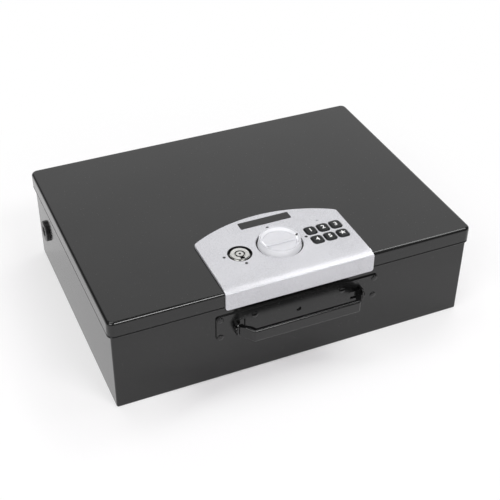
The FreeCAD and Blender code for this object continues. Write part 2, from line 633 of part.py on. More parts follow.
def make_lid_shell():
    """The lid: a shallow pressing with round corners, and holes for what passes through it."""
    body = new_body("lid_shell")
    wide = S.lid_width / 2
    deep = S.lid_depth / 2
    outline = new_sketch(body, "LidOutline", "XY_Plane", (0, 0, SKIRT_END))
    draw_rectangle(outline, -wide, -deep, wide, deep)
    pad(body, outline, S.skirt_height)
    soften(body, "LidCorners", S.lid_corner, upright)
    soften(body, "LidBend", S.lid_bend, lambda box: level(box, S.box_height))
    soften(body, "SkirtEdge", S.skirt_edge, lambda box: level(box, SKIRT_END))
    hollow = new_sketch(body, "LidHollow", "XY_Plane", (0, 0, SKIRT_END))
    inner_corner = S.lid_corner - S.sheet
    draw_rounded(hollow, S.sheet - wide, S.sheet - deep, wide - S.sheet, deep - S.sheet, inner_corner)
    pocket(body, hollow, S.skirt_height - S.sheet, along=True)
    soften(body, "LidInnerBend", S.lid_bend - S.sheet, lambda box: level(box, LID_UNDER))
    holes = new_sketch(body, "LidHoles", "XY_Plane", (0, 0, S.box_height))
    draw_circle(holes, 0, KNOB_Y, S.bush_radius + S.hole_gap)
    draw_circle(holes, LOCK_X, KNOB_Y, S.barrel_radius + S.hole_gap)
    draw_circle(holes, KEY_X, FRONT + S.light_setback, S.light_radius + S.pass_gap)
    draw_key_field(holes, S.window_gap)
    for x, y in stud_places():
        draw_circle(holes, x, y, S.stud_radius + S.pass_gap)
    pocket(body, holes, S.sheet)


def draw_panel_plan(sketch):
    """The panel from above: straight sides and front, and a back edge that is one shallow arc."""
    half = S.panel_width / 2
    peak = FRONT + S.panel_back
    centre_y = peak - S.panel_arc
    front = FRONT - S.apron_thickness
    drop = math.sqrt(S.panel_arc.value ** 2 - half.value ** 2)
    corner = centre_y.value + drop
    start = math.atan2(drop, half.value)
    corners = [(half.value, corner), (-half.value, corner),
               (-half.value, front.value), (half.value, front.value)]
    points = [Vector(x, y, 0) for x, y in corners]
    circle = Part.Circle(Vector(0, centre_y.value, 0), Vector(0, 0, 1), S.panel_arc.value)
    arc = sketch.addGeometry(Part.ArcOfCircle(circle, start, math.pi - start), False)
    sides = [sketch.addGeometry(Part.LineSegment(points[index], points[(index + 1) % 4]), False)
             for index in (1, 2, 3)]
    ring = [(arc, 2, sides[0], 1), (sides[0], 2, sides[1], 1),
            (sides[1], 2, sides[2], 1), (sides[2], 2, arc, 1)]
    for first, first_end, second, second_end in ring:
        sketch.addConstraint(Sketcher.Constraint("Coincident", first, first_end, second, second_end))
    fix_point(sketch, arc, 3, 0, centre_y)
    fix_point(sketch, sides[1], 1, -half, front)
    fix_point(sketch, sides[2], 1, half, front)
    sketch.addConstraint(Sketcher.Constraint("Vertical", sides[0]))
    sketch.addConstraint(Sketcher.Constraint("Vertical", sides[2]))
    index = sketch.addConstraint(Sketcher.Constraint("Radius", arc, S.panel_arc.value))
    drive(sketch, f"Constraints[{index}]", S.panel_arc)


def make_control_panel():
    """The moulded panel: a plate on the lid with an apron over its front edge, a sloped facet, and wells."""
    body = new_body("control_panel")
    half = S.panel_width / 2
    apron_low = S.box_height - S.apron_height
    apron_face = FRONT - S.apron_thickness
    plan = new_sketch(body, "PanelPlan", "XY_Plane", (0, 0, S.box_height))
    draw_panel_plan(plan)
    pad(body, plan, S.panel_thickness)
    apron = new_sketch(body, "PanelApron", "XZ_Plane", (0, 0, -FRONT))
    draw_rectangle(apron, -half, apron_low, half, PANEL_TOP)
    pad(body, apron, S.apron_thickness)
    facet = new_sketch(body, "PanelFacet", "YZ_Plane")
    draw_polygon(facet, [(apron_face, PANEL_TOP), (FRONT + S.facet_depth, PANEL_TOP),
                         (apron_face, PANEL_TOP - S.facet_drop)])
    pocket(body, facet, 2 * S.panel_width, both=True)
    soften(body, "ApronRoll", S.apron_roll,
           lambda box: along_x(box) and close(box.YMin, apron_face)
           and close(box.ZMin, PANEL_TOP - S.facet_drop))
    soften(body, "ApronCorners", S.apron_corner, lambda box: along_y(box) and close(box.ZMin, apron_low))
    soften(body, "PanelCorners", S.panel_corner,
           lambda box: upright(box) and close(box.ZMin, S.box_height) and close(box.ZMax, PANEL_TOP)
           and box.YMin > KNOB_Y.value)
    soften(body, "PanelEdges", S.panel_edge, lambda box: level(box, PANEL_TOP) and box.YMax > KNOB_Y.value)
    wells = new_sketch(body, "PanelWells", "XY_Plane", (0, 0, PANEL_TOP))
    draw_circle(wells, 0, KNOB_Y, S.knob_well_radius)
    draw_circle(wells, LOCK_X, KNOB_Y, S.lock_well_radius)
    draw_circle(wells, KEY_X, FRONT + S.light_setback, S.light_radius + S.hole_gap)
    pocket(body, wells, S.panel_thickness)
    keys = new_sketch(body, "KeyApertures", "XY_Plane", (0, 0, PANEL_TOP))
    reach_x = S.key_width / 2 + S.key_gap
    reach_y = S.key_depth / 2 + S.key_gap
    for _, x, y in key_places():
        draw_rectangle(keys, x - reach_x, y - reach_y, x + reach_x, y + reach_y)
    pocket(body, keys, S.panel_thickness)
    soften(body, "ApertureCorners", S.key_corner + S.key_gap,
           lambda box: upright(box) and close(box.ZMin, S.box_height) and close(box.ZMax, PANEL_TOP)
           and box.XMin > S.knob_well_radius.value and box.XMax < half.value - 1
           and box.YMax < KEY_REAR.value + S.key_depth.value)
    recess = new_sketch(body, "LabelRecess", "XY_Plane", (0, 0, PANEL_TOP))
    draw_label(recess, S.hole_gap)
    pocket(body, recess, S.label_recess)
    soften(body, "RecessCorners", S.label_corner + S.hole_gap,
           lambda box: upright(box) and close(box.ZMax, PANEL_TOP)
           and close(box.ZMin, PANEL_TOP - S.label_recess))
    studs = new_sketch(body, "PanelStuds", "XY_Plane", (0, 0, S.box_height))
    for x, y in stud_places():
        draw_circle(studs, x, y, S.stud_radius)
    pad(body, studs, S.sheet + S.stud_end, away=True)


def draw_label(sketch, margin):
    """The label plate's rectangle with a margin."""
    mid_y = FRONT + S.label_setback
    reach_x = S.label_width / 2 + margin
    reach_y = S.label_depth / 2 + margin
    draw_rectangle(sketch, S.label_x - reach_x, mid_y - reach_y, S.label_x + reach_x, mid_y + reach_y)


def make_panel_trim():
    """The bare label plate in its recess, and the push nuts that hold the panel's studs."""
    body = new_body("label_plate")
    outline = new_sketch(body, "LabelOutline", "XY_Plane", (0, 0, PANEL_TOP - S.label_recess))
    draw_label(outline, as_length(0))
    pad(body, outline, S.label_thickness)
    soften(body, "LabelCorners", S.label_corner, upright)
    rings = []
    for index, (x, y) in enumerate(stud_places()):
        low = LID_UNDER - S.push_nut
        ring = rod(f"PushNutDisc{index}", S.push_nut_radius, (x, y, low), S.push_nut)
        bore = rod(f"PushNutBore{index}", S.stud_radius + S.shaft_gap, (x, y, low), S.push_nut)
        rings.append(remove(f"PushNut{index}", ring, bore))
    keep(group("PanelPushNuts", rings), "panel_push_nuts")


def make_keys():
    """Six keys: a cap in its aperture on a flange that stops under the panel."""
    flange_top = KEY_LOW + S.flange_thickness
    top = PANEL_TOP + S.key_proud
    for name, x, y in key_places():
        body = new_body(name)
        half_x = S.key_width / 2
        half_y = S.key_depth / 2
        cap = new_sketch(body, name + "Cap", "XY_Plane", (x, y, flange_top))
        draw_rectangle(cap, -half_x, -half_y, half_x, half_y)
        pad(body, cap, top - flange_top)
        soften(body, name + "Corners", S.key_corner, upright)
        soften(body, name + "Edges", S.key_edge, lambda box: level(box, top))
        flange = new_sketch(body, name + "Flange", "XY_Plane", (x, y, flange_top))
        edge = S.key_flange
        draw_rectangle(flange, -half_x - edge, -half_y - edge, half_x + edge, half_y + edge)
        pad(body, flange, S.flange_thickness, away=True)


def make_keypad():
    """The rubber mat with a post under each key, the circuit board and the status light."""
    mat = new_body("keypad_mat")
    sheet = new_sketch(mat, "MatSheet", "XY_Plane", (0, 0, BOARD_TOP))
    draw_key_field(sheet, as_length(0))
    pad(mat, sheet, S.mat_base)
    posts = new_sketch(mat, "MatPosts", "XY_Plane", (0, 0, BOARD_TOP))
    for _, x, y in key_places():
        draw_circle(posts, x, y, S.mat_post_radius)
    pad(mat, posts, S.mat_thickness)
    reach = S.key_column_pitch + S.key_width / 2 + S.board_margin
    front = KEY_FRONT - S.key_depth / 2 - S.board_margin
    board = block("Board", (KEY_X - reach, front, BOARD_TOP - S.board_thickness),
                  (KEY_X + reach, FRONT + S.board_rear, BOARD_TOP))
    keep(board, "keypad_board")
    light = new_body("status_light")
    lens = new_sketch(light, "LightPlan", "XY_Plane", (0, 0, BOARD_TOP))
    draw_circle(lens, KEY_X, FRONT + S.light_setback, S.light_radius)
    top = PANEL_TOP + S.light_proud
    pad(light, lens, top - BOARD_TOP)
    soften(light, "LightDome", S.light_radius * 0.7, lambda box: level(box, top))


def make_knob():
    """The turn knob: a round cap with a dished face and a grip bar across the dish."""
    body = new_body("turn_knob")
    low = S.box_height + S.knob_lift
    top = S.box_height + S.knob_top
    floor = top - S.dish_depth
    ceiling = floor - S.knob_web
    hub_low = S.box_height + S.bush_flange + S.pass_gap
    bore = S.spindle_radius + S.shaft_gap
    rim = S.knob_radius - S.knob_taper
    skirt = S.knob_radius - S.knob_wall - S.knob_taper
    profile = new_sketch(body, "KnobProfile", "XZ_Plane", (0, 0, -KNOB_Y))
    draw_polygon(profile, [(0, floor - S.hub_cap), (bore, floor - S.hub_cap), (bore, hub_low),
                           (S.hub_radius, hub_low), (S.hub_radius, ceiling), (skirt, ceiling),
                           (skirt, low), (S.knob_radius, low), (rim, top),
                           (S.dish_radius, top), (S.dish_floor_radius, floor), (0, floor)])
    spin(body, profile, "V_Axis")
    soften(body, "KnobRim", S.knob_edge, lambda box: level(box, top))
    bar = new_sketch(body, "KnobBar", "YZ_Plane", (KNOB_Y, floor, 0))
    half = S.bar_width / 2
    shoulder = S.bar_height - S.bar_edge
    draw_polygon(bar, [(-half, 0), (half, 0), (half, shoulder), (half - S.bar_edge, S.bar_height),
                       (S.bar_edge - half, S.bar_height), (-half, shoulder)])
    pad(body, bar, 2 * S.dish_radius, both=True)


def make_knob_drive():
    """The spindle in its bush, and the crank whose pin moves the bolt."""
    floor = S.box_height + S.knob_top - S.dish_depth
    spindle_top = floor - S.hub_cap - S.hole_gap
    shaft = rod("SpindleShaft", S.spindle_radius, (0, KNOB_Y, CRANK_TOP), spindle_top - CRANK_TOP)
    foot = rod("SpindleFoot", S.spindle_foot_radius, (0, KNOB_Y, CRANK_LOW), S.crank_thickness)
    keep(join("Spindle", [shaft, foot]), "knob_spindle")
    bush = new_body("spindle_bush")
    profile = new_sketch(bush, "BushProfile", "XZ_Plane", (0, 0, -KNOB_Y))
    bore = S.spindle_radius + S.shaft_gap
    bush_low = CRANK_TOP + S.pass_gap
    flange_top = S.box_height + S.bush_flange
    draw_polygon(profile, [(bore, bush_low), (S.bush_radius, bush_low), (S.bush_radius, S.box_height),
                           (S.bush_flange_radius, S.box_height), (S.bush_flange_radius, flange_top),
                           (bore, flange_top)])
    spin(bush, profile, "V_Axis")
    nut = new_body("spindle_nut")
    outline = new_sketch(nut, "SpindleNutOutline", "XY_Plane", (0, 0, LID_UNDER))
    draw_hexagon(outline, as_length(0), KNOB_Y, S.spindle_nut_flats)
    draw_circle(outline, 0, KNOB_Y, S.bush_radius + S.shaft_gap)
    pad(nut, outline, S.spindle_nut, away=True)
    crank = new_body("drive_crank")
    disc = new_sketch(crank, "CrankDisc", "XY_Plane", (0, 0, CRANK_LOW))
    draw_circle(disc, 0, KNOB_Y, S.crank_radius)
    draw_circle(disc, 0, KNOB_Y, S.spindle_foot_radius + S.shaft_gap)
    pad(crank, disc, S.crank_thickness)
    pin = new_sketch(crank, "CrankPin", "XY_Plane", (0, 0, CRANK_TOP))
    draw_circle(pin, -S.bolt_travel / 2, KNOB_Y + S.bolt_travel / 2, S.crank_pin_radius)
    pad(crank, pin, CRANK_TOP - BOLT_LOW + S.crank_pin_drop, away=True)


def make_latch_bolt():
    """The bolt plate, drawn back: two noses, a drive slot for the crank pin and notches for the plunger."""
    body = new_body("latch_bolt")
    nose_front = CASE_FRONT + S.hole_gap
    bar_front = nose_front + NOSE_LENGTH
    bar_back = bar_front + S.bar_depth
    tongue_back = FRONT + S.tongue_end
    nose_in = (S.nose_spread - S.nose_width) / 2
    nose_out = (S.nose_spread + S.nose_width) / 2
    tongue = S.tongue_width / 2
    right = [(nose_in, bar_front), (nose_in, nose_front), (nose_out, nose_front), (nose_out, bar_back),
             (tongue, bar_back), (tongue, tongue_back)]
    left = [(-x, y) for x, y in reversed(right)]
    outline = new_sketch(body, "BoltOutline", "XY_Plane", (0, 0, BOLT_LOW))
    draw_polygon(outline, right + left)
    pad(body, outline, S.bolt_thickness)
    soften(body, "NoseCorners", S.nose_width / 8, lambda box: upright(box) and close(box.YMin, nose_front))
    slot = new_sketch(body, "DriveSlot", "XY_Plane", (0, 0, BOLT_TOP))
    half = S.crank_pin_radius + S.slot_gap
    pin_y = KNOB_Y + S.bolt_travel / 2
    furthest = S.bolt_travel / 2 * math.sqrt(2)
    draw_rectangle(slot, -furthest - half, pin_y - half, half - S.bolt_travel / 2, pin_y + half)
    pocket(body, slot, S.bolt_thickness)
    notches = new_sketch(body, "PlungerNotches", "XY_Plane", (0, 0, BOLT_TOP))
    reach = S.plunger_radius + S.notch_gap
    for y in (PLUNGER_Y, PLUNGER_Y + S.bolt_travel):
        draw_rectangle(notches, -tongue, y - reach, S.notch_depth - tongue, y + reach)
    pocket(body, notches, S.bolt_thickness)


def solenoid_face():
    """The x of the solenoid's front plate, behind the bolt's edge by its reach."""
    return -(S.tongue_width / 2 + S.solenoid_reach)


def make_solenoid():
    """The solenoid: a bent frame, the coil between its end plates and the plunger, drawn in."""
    face = solenoid_face()
    rear = face - S.coil_length - 2 * S.frame_sheet
    low = BOLT_MID - S.coil_radius - S.frame_gap - S.frame_base
    high = BOLT_MID + S.coil_radius
    front_y = PLUNGER_Y - S.frame_width / 2
    back_y = PLUNGER_Y + S.frame_width / 2
    bore = S.plunger_radius + S.shaft_gap
    base = block("FrameBase", (rear, front_y, low), (face, back_y, low + S.frame_base))
    ends = [block(f"FrameEnd{index}", (start, front_y, low), (start + S.frame_sheet, back_y, high))
            for index, start in enumerate((rear, face - S.frame_sheet))]
    frame_bore = rod("FrameBore", bore, (rear, PLUNGER_Y, BOLT_MID), face - rear, "x")
    keep(remove("SolenoidFrame", join("FrameSolid", [base] + ends), frame_bore), "solenoid_frame")
    coil_start = rear + S.frame_sheet
    coil = rod("CoilSolid", S.coil_radius, (coil_start, PLUNGER_Y, BOLT_MID), S.coil_length, "x")
    coil_bore = rod("CoilBore", bore, (coil_start, PLUNGER_Y, BOLT_MID), S.coil_length, "x")
    keep(remove("SolenoidCoil", coil, coil_bore), "solenoid_coil")
    tip = -(S.tongue_width / 2 + S.plunger_rest)
    tail = rear - S.tail_gap
    shaft = rod("PlungerShaft", S.plunger_radius, (tail, PLUNGER_Y, BOLT_MID), tip - tail, "x")
    cap = rod("PlungerTail", S.tail_radius, (tail - S.tail_length, PLUNGER_Y, BOLT_MID), S.tail_length, "x")
    keep(join("SolenoidPlunger", [shaft, cap]), "solenoid_plunger")


def make_key_lock():
    """The tubular key lock: barrel, nut, plug with its ring keyway, cam and cam screw."""
    face = PANEL_TOP - S.lock_sink
    barrel_low = face - S.barrel_length
    plug_low = barrel_low - S.plug_stub
    cam_low = plug_low - S.cam_thickness
    flange_top = S.box_height + S.barrel_flange
    bore = S.plug_radius + S.shaft_gap
    barrel = new_body("lock_barrel")
    profile = new_sketch(barrel, "BarrelProfile", "XZ_Plane", (LOCK_X, 0, -KNOB_Y))
    draw_polygon(profile, [(bore, barrel_low), (S.barrel_radius, barrel_low), (S.barrel_radius, S.box_height),
                           (S.barrel_flange_radius, S.box_height), (S.barrel_flange_radius, flange_top),
                           (S.barrel_radius, flange_top), (S.barrel_radius, face), (bore, face)])
    spin(barrel, profile, "V_Axis")
    notch = new_sketch(barrel, "KeyNotch", "XY_Plane", (LOCK_X, KNOB_Y, face))
    half = S.keyway_notch / 2
    draw_rectangle(notch, -half, S.notch_rim - S.barrel_radius, half, -S.keyway_outer)
    pocket(barrel, notch, S.notch_drop)
    nut = new_body("lock_nut")
    outline = new_sketch(nut, "LockNutOutline", "XY_Plane", (0, 0, LID_UNDER))
    draw_hexagon(outline, LOCK_X, KNOB_Y, S.lock_nut_flats)
    draw_circle(outline, LOCK_X, KNOB_Y, S.barrel_radius + S.shaft_gap)
    pad(nut, outline, S.lock_nut, away=True)
    plug = new_body("lock_plug")
    core = new_sketch(plug, "PlugProfile", "XZ_Plane", (LOCK_X, 0, -KNOB_Y))
    screw_bore = S.cam_screw_radius + S.shaft_gap
    bore_top = cam_low + S.cam_screw_depth + S.hole_gap
    keyway_low = face - S.keyway_depth
    draw_polygon(core, [(0, bore_top), (screw_bore, bore_top), (screw_bore, cam_low),
                        (S.tail_post_radius, cam_low),
                        (S.tail_post_radius, plug_low), (S.plug_radius, plug_low), (S.plug_radius, face),
                        (S.keyway_outer, face), (S.keyway_outer, keyway_low), (S.keyway_inner, keyway_low),
                        (S.keyway_inner, face), (0, face)])
    spin(plug, core, "V_Axis")
    gate = new_sketch(plug, "PlugNotch", "XY_Plane", (LOCK_X, KNOB_Y, face))
    draw_rectangle(gate, -half, -S.barrel_radius, half, -S.keyway_outer)
    pocket(plug, gate, S.notch_drop)
    cam = new_body("lock_cam")
    plan = new_sketch(cam, "CamPlan", "XY_Plane", (LOCK_X, KNOB_Y, cam_low))
    draw_rectangle(plan, -S.cam_width / 2, -S.cam_heel, S.cam_width / 2, S.cam_reach)
    pad(cam, plan, S.cam_thickness)
    soften(cam, "CamRound", S.cam_round, upright)
    post = new_sketch(cam, "CamHole", "XY_Plane", (LOCK_X, KNOB_Y, plug_low))
    draw_circle(post, 0, 0, S.tail_post_radius + S.shaft_gap)
    pocket(cam, post, S.cam_thickness)
    shank = rod("CamScrewShank", S.cam_screw_radius, (LOCK_X, KNOB_Y, cam_low), S.cam_screw_depth)
    head = rod("CamScrewHead", S.cam_head_radius, (LOCK_X, KNOB_Y, cam_low - S.cam_head), S.cam_head)
    keep(join("CamScrew", [shank, head]), "cam_screw")


def case_stud_places():
    """The four fixings of the lock case as (x, y), set in from its corners."""
    reach = CASE_X - S.case_stud_inset
    rows = (CASE_FRONT + S.case_stud_inset, CASE_BACK - S.case_stud_inset)
    return [(side * reach, y) for side in (-1, 1) for y in rows]


def make_lock_case():
    """The moulded case under the lid: bolt rails, solenoid seat, board posts, bosses and the battery bay."""
    body = new_body("lock_case")
    outline = new_sketch(body, "CaseOutline", "XY_Plane", (0, 0, CASE_LOW))
    draw_rectangle(outline, -CASE_X, CASE_FRONT, CASE_X, CASE_BACK)
    pad(body, outline, S.case_depth)
    soften(body, "CaseCorners", S.case_corner, upright)
    soften(body, "CaseEdges", S.case_edge, lambda box: level(box, CASE_LOW))
    hollow = new_sketch(body, "CaseHollow", "XY_Plane", (0, 0, LID_UNDER))
    inner_x = CASE_X - S.case_wall
    inner_front = CASE_FRONT + S.case_wall
    inner_back = CASE_BACK - S.case_wall
    draw_rectangle(hollow, -inner_x, inner_front, inner_x, inner_back)
    pocket(body, hollow, S.case_depth - S.case_floor)
    soften(body, "HollowCorners", S.case_corner - S.case_wall,
           lambda box: upright(box) and close(abs(box.XMin), inner_x) and close(box.ZMax, LID_UNDER))
    add_case_supports(body, inner_front)
    add_battery_bay(body)
    windows = new_sketch(body, "NoseWindows", "XZ_Plane", (0, 0, -CASE_FRONT))
    nose_in = (S.nose_spread - S.nose_width) / 2 - S.pass_gap
    nose_out = (S.nose_spread + S.nose_width) / 2 + S.pass_gap
    draw_rectangle(windows, nose_in, BOLT_LOW - S.pass_gap, nose_out, BOLT_TOP + S.pass_gap)
    draw_rectangle(windows, -nose_out, BOLT_LOW - S.pass_gap, -nose_in, BOLT_TOP + S.pass_gap)
    pocket(body, windows, S.case_wall)


def add_case_supports(body, inner_front):
    """Ribs that carry the bolt and guide its tongue, the solenoid's seat, and the corner bosses."""
    rail_top = BOLT_LOW - S.rail_gap
    rail_front = FRONT + S.rail_front
    rail_back = rail_front + S.rail_length
    tongue = S.tongue_width / 2
    rails = new_sketch(body, "BoltRails", "XY_Plane", (0, 0, CASE_INNER))
    for side in (-1, 1):
        edges = [side * (tongue - S.rail_inset), side * (tongue - S.rail_inset - S.rail_width)]
        low, high = sorted(edges, key=lambda edge: edge.value)
        draw_rectangle(rails, low, rail_front, high, rail_back)
    bar_mid = CASE_FRONT + S.hole_gap + NOSE_LENGTH + S.bar_depth / 2
    draw_rectangle(rails, -S.front_rail_length / 2, bar_mid, S.front_rail_length / 2, bar_mid + S.rail_width)
    pad(body, rails, rail_top - CASE_INNER)
    guides = new_sketch(body, "TongueGuides", "XY_Plane", (0, 0, CASE_INNER))
    for side in (-1, 1):
        edges = [side * (tongue + S.pass_gap), side * (tongue + S.pass_gap + S.rail_width)]
        low, high = sorted(edges, key=lambda edge: edge.value)
        draw_rectangle(guides, low, rail_front, high, rail_front + S.guide_length)
        draw_rectangle(guides, low, rail_back - S.guide_length, high, rail_back)
    pad(body, guides, rail_top + S.guide_rise - CASE_INNER)
    seat = new_sketch(body, "SolenoidSeat", "XY_Plane", (0, 0, CASE_INNER))
    face = solenoid_face()
    rear = face - S.coil_length - 2 * S.frame_sheet
    for y in (PLUNGER_Y - S.frame_width / 2, PLUNGER_Y + S.frame_width / 2 - S.rail_width):
        draw_rectangle(seat, rear, y, face, y + S.rail_width)
    pad(body, seat, BOLT_MID - S.coil_radius - S.frame_gap - S.frame_base - CASE_INNER)
    bosses = new_sketch(body, "CaseBosses", "XY_Plane", (0, 0, CASE_INNER))
    for x, y in case_stud_places():
        draw_circle(bosses, x, y, S.case_stud_radius)
    pad(body, bosses, LID_UNDER - S.case_stud_length - CASE_INNER)
    holes = new_sketch(body, "CaseScrewHoles", "XY_Plane", (0, 0, CASE_LOW))
    for x, y in case_stud_places():
        draw_circle(holes, x, y, S.case_screw_radius + S.hole_gap)
    pocket(body, holes, LID_UNDER - S.case_stud_length - CASE_LOW, along=True)


def add_battery_bay(body):
    """The bay's walls and roof, the posts that carry the board, and its mouth with a ledge for the door."""
    bay = new_sketch(body, "BayWalls", "XY_Plane", (0, 0, CASE_INNER))
    wall = S.bay_wall
    draw_rectangle(bay, BAY_X - wall, BAY_MID - BAY_HALF - wall, BAY_END + wall, BAY_MID + BAY_HALF + wall)
    roof = BAY_TOP + wall
    pad(body, bay, roof - CASE_INNER)
    posts = new_sketch(body, "BoardPosts", "XY_Plane", (0, 0, roof))
    for side in (-1, 1):
        for y in (KEY_REAR - S.post_pitch / 2, KEY_REAR + S.post_pitch / 2):
            draw_circle(posts, KEY_X + (side * S.post_spread - S.post_radius) / 2, y, S.post_radius)
    pad(body, posts, BOARD_TOP - S.board_thickness - roof)
    mouth = new_sketch(body, "BayMouth", "XY_Plane", (0, 0, CASE_LOW))
    draw_rectangle(mouth, BAY_X, BAY_MID - BAY_HALF, BAY_END, BAY_MID + BAY_HALF)
    pocket(body, mouth, BAY_TOP - CASE_LOW, along=True)
    ledge = new_sketch(body, "DoorLedge", "XY_Plane", (0, 0, CASE_LOW))
    draw_door(ledge, S.door_ledge)
    pocket(body, ledge, S.door_thickness, along=True)


def draw_door(sketch, margin):
    """The battery bay's rectangle with a margin."""
    reach = BAY_HALF + margin
    draw_rectangle(sketch, BAY_X - margin, BAY_MID - reach, BAY_END + margin, BAY_MID + reach)


def make_case_fixings():
    """The studs welded under the lid, and the screws that hold the case to them."""
    studs = []
    screws = []
    stud_low = LID_UNDER - S.case_stud_length
    for index, (x, y) in enumerate(case_stud_places()):
        depth = S.case_screw_depth
        stud = rod(f"StudRod{index}", S.case_stud_radius, (x, y, stud_low), S.case_stud_length)
        bore = rod(f"StudBore{index}", S.case_screw_radius + S.shaft_gap, (x, y, stud_low),
                   depth + S.pass_gap)
        studs.append(remove(f"Stud{index}", stud, bore))
        shank = rod(f"ScrewShank{index}", S.case_screw_radius, (x, y, CASE_LOW), stud_low + depth - CASE_LOW)
        head = rod(f"ScrewHead{index}", S.case_screw_head_radius, (x, y, CASE_LOW - S.case_screw_head),
                   S.case_screw_head)
        screws.append(join(f"Screw{index}", [shank, head]))
    keep(group("CaseStuds", studs), "case_studs")
    keep(group("CaseScrews", screws), "case_screws")


def make_batteries():
    """Four round cells that lie side by side, head to tail, and the contact plates at their ends."""
    contacts = []
    first_y = BAY_MID - S.cell_pitch * (S.cell_count - 1) / 2
    start = BAY_X + S.contact_thickness + S.contact_gap
    for index in range(SIZES["cell_count"]):
        y = first_y + index * S.cell_pitch
        turned = index % 2 == 1
        can_start = start + S.cell_nub if turned else start
        nub_start = start if turned else start + S.cell_length
        can = rod(f"CellCan{index}", S.cell_radius, (can_start, y, CELL_Z), S.cell_length, "x")
        nub = rod(f"CellNub{index}", S.cell_nub_radius, (nub_start, y, CELL_Z), S.cell_nub, "x")
        keep(join(f"Cell{index}", [can, nub]), f"battery_{index + 1}")
        half = S.contact_size / 2
        for end, x in enumerate((BAY_X, BAY_END - S.contact_thickness)):
            contacts.append(block(f"Contact{index}_{end}", (x, y - half, CELL_Z - half),
                                  (x + S.contact_thickness, y + half, CELL_Z + half)))
    keep(group("BatteryContacts", contacts), "battery_contacts")


def make_battery_door():
    """The door that lies flush in the ledge of the bay, with grip ribs."""
    body = new_body("battery_door")
    outline = new_sketch(body, "DoorOutline", "XY_Plane", (0, 0, CASE_LOW))
    draw_door(outline, S.door_ledge - S.door_gap)
    pad(body, outline, S.door_thickness)
    soften(body, "DoorCorners", S.door_corner, upright)
    ribs = new_sketch(body, "DoorRibs", "XY_Plane", (0, 0, CASE_LOW))
    half = S.door_rib_length / 2
    for step in (0, 1, 2):
        x = BAY_X + (step + 1) * S.door_rib_pitch
        draw_rectangle(ribs, x, BAY_MID - half, x + S.door_rib_width, BAY_MID + half)
    pad(body, ribs, S.door_rib, away=True)


def write_parts():
    """Recompute, check every object, and write one file for each piece."""
    doc.recompute()
    for item in doc.Objects:
        if "Invalid" in item.State or "Error" in item.State:
            raise RuntimeError(f"{item.Name} failed: {item.State}")
    for item in nodes:
        if item.Shape.isNull() or not item.Shape.isValid() or not item.Shape.Solids:
            raise RuntimeError(f"{item.Label} has no valid solid")
    os.makedirs("parts", exist_ok=True)
    for item in nodes:
        item.Shape.exportStep(os.path.join("parts", item.Label + ".step"))
    print(len(nodes), "pieces written")


make_body_shell()
make_strike()
make_handle_plate()
make_carry_handle()
make_handle_pins()
make_handle_rivets()
make_hinge(-1, "left")
make_hinge(1, "right")
make_cable_anchor()
make_lid_shell()
make_control_panel()
make_panel_trim()
make_keys()
make_keypad()
make_knob()
make_knob_drive()
make_latch_bolt()
make_solenoid()
make_key_lock()
make_lock_case()
make_case_fixings()
make_batteries()
make_battery_door()
write_parts()
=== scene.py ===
"""Looks of the cash box: finishes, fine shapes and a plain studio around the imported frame.

Lengths are metres in the shared frame: +X right along the front, +Y to the hinges, +Z up.
"""
import json
import logging
import math
from dataclasses import dataclass, field, replace
from enum import Enum
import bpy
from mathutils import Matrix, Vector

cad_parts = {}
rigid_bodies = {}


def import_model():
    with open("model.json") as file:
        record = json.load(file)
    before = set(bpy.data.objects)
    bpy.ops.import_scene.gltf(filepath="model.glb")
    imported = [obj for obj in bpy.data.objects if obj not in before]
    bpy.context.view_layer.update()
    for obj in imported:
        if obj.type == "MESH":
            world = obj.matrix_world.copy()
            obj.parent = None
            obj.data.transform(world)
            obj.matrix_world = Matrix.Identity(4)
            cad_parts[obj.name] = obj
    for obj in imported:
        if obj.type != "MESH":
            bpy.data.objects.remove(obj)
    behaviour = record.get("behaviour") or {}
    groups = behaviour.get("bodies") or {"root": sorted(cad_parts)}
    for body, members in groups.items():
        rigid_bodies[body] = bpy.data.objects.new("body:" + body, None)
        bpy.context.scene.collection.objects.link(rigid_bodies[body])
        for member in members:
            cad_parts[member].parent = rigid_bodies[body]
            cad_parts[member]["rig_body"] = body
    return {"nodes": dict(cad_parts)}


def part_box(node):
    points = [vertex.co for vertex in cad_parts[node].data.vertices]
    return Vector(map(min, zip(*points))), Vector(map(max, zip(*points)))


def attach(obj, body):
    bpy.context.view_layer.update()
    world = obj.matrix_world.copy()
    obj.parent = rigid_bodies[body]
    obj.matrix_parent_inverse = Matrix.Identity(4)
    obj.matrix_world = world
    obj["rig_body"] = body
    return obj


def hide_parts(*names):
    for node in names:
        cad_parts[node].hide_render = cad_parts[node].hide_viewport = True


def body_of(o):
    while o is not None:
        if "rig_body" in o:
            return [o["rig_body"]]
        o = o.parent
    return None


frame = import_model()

from types import MappingProxyType
from typing import Any, Mapping, Sequence, Union

import bmesh
import bpy
from mathutils import Matrix, Vector

LOG = logging.getLogger("cash_box")
NOTHING: Mapping[Any, Any] = MappingProxyType({})
Number = Union["Socket", float]
Colour = tuple[float, float, float]
Point = tuple[float, float, float]
Span = tuple[float, float]
Box = tuple[Vector, Vector]
WHITE = (1.0, 1.0, 1.0, 1.0)
FULL_TURN = 2 * math.pi
# The share of a slow noise over which a tone goes from dark to light.
DRIFT: Span = (0.3, 0.7)
# Points of a mesh that are nearer than this, in metres, are one.
WELD = 1.0e-6


class Grain(Enum):
    """The way the fine lines of a metal run."""

    ALONG_X = "along x"
    TURNED = "round the axis"


class Crease(Enum):
    """The angle in degrees above which an edge of a copied piece stays sharp."""

    FINE = 22.0
    USUAL = 32.0
    ROUND = 50.0


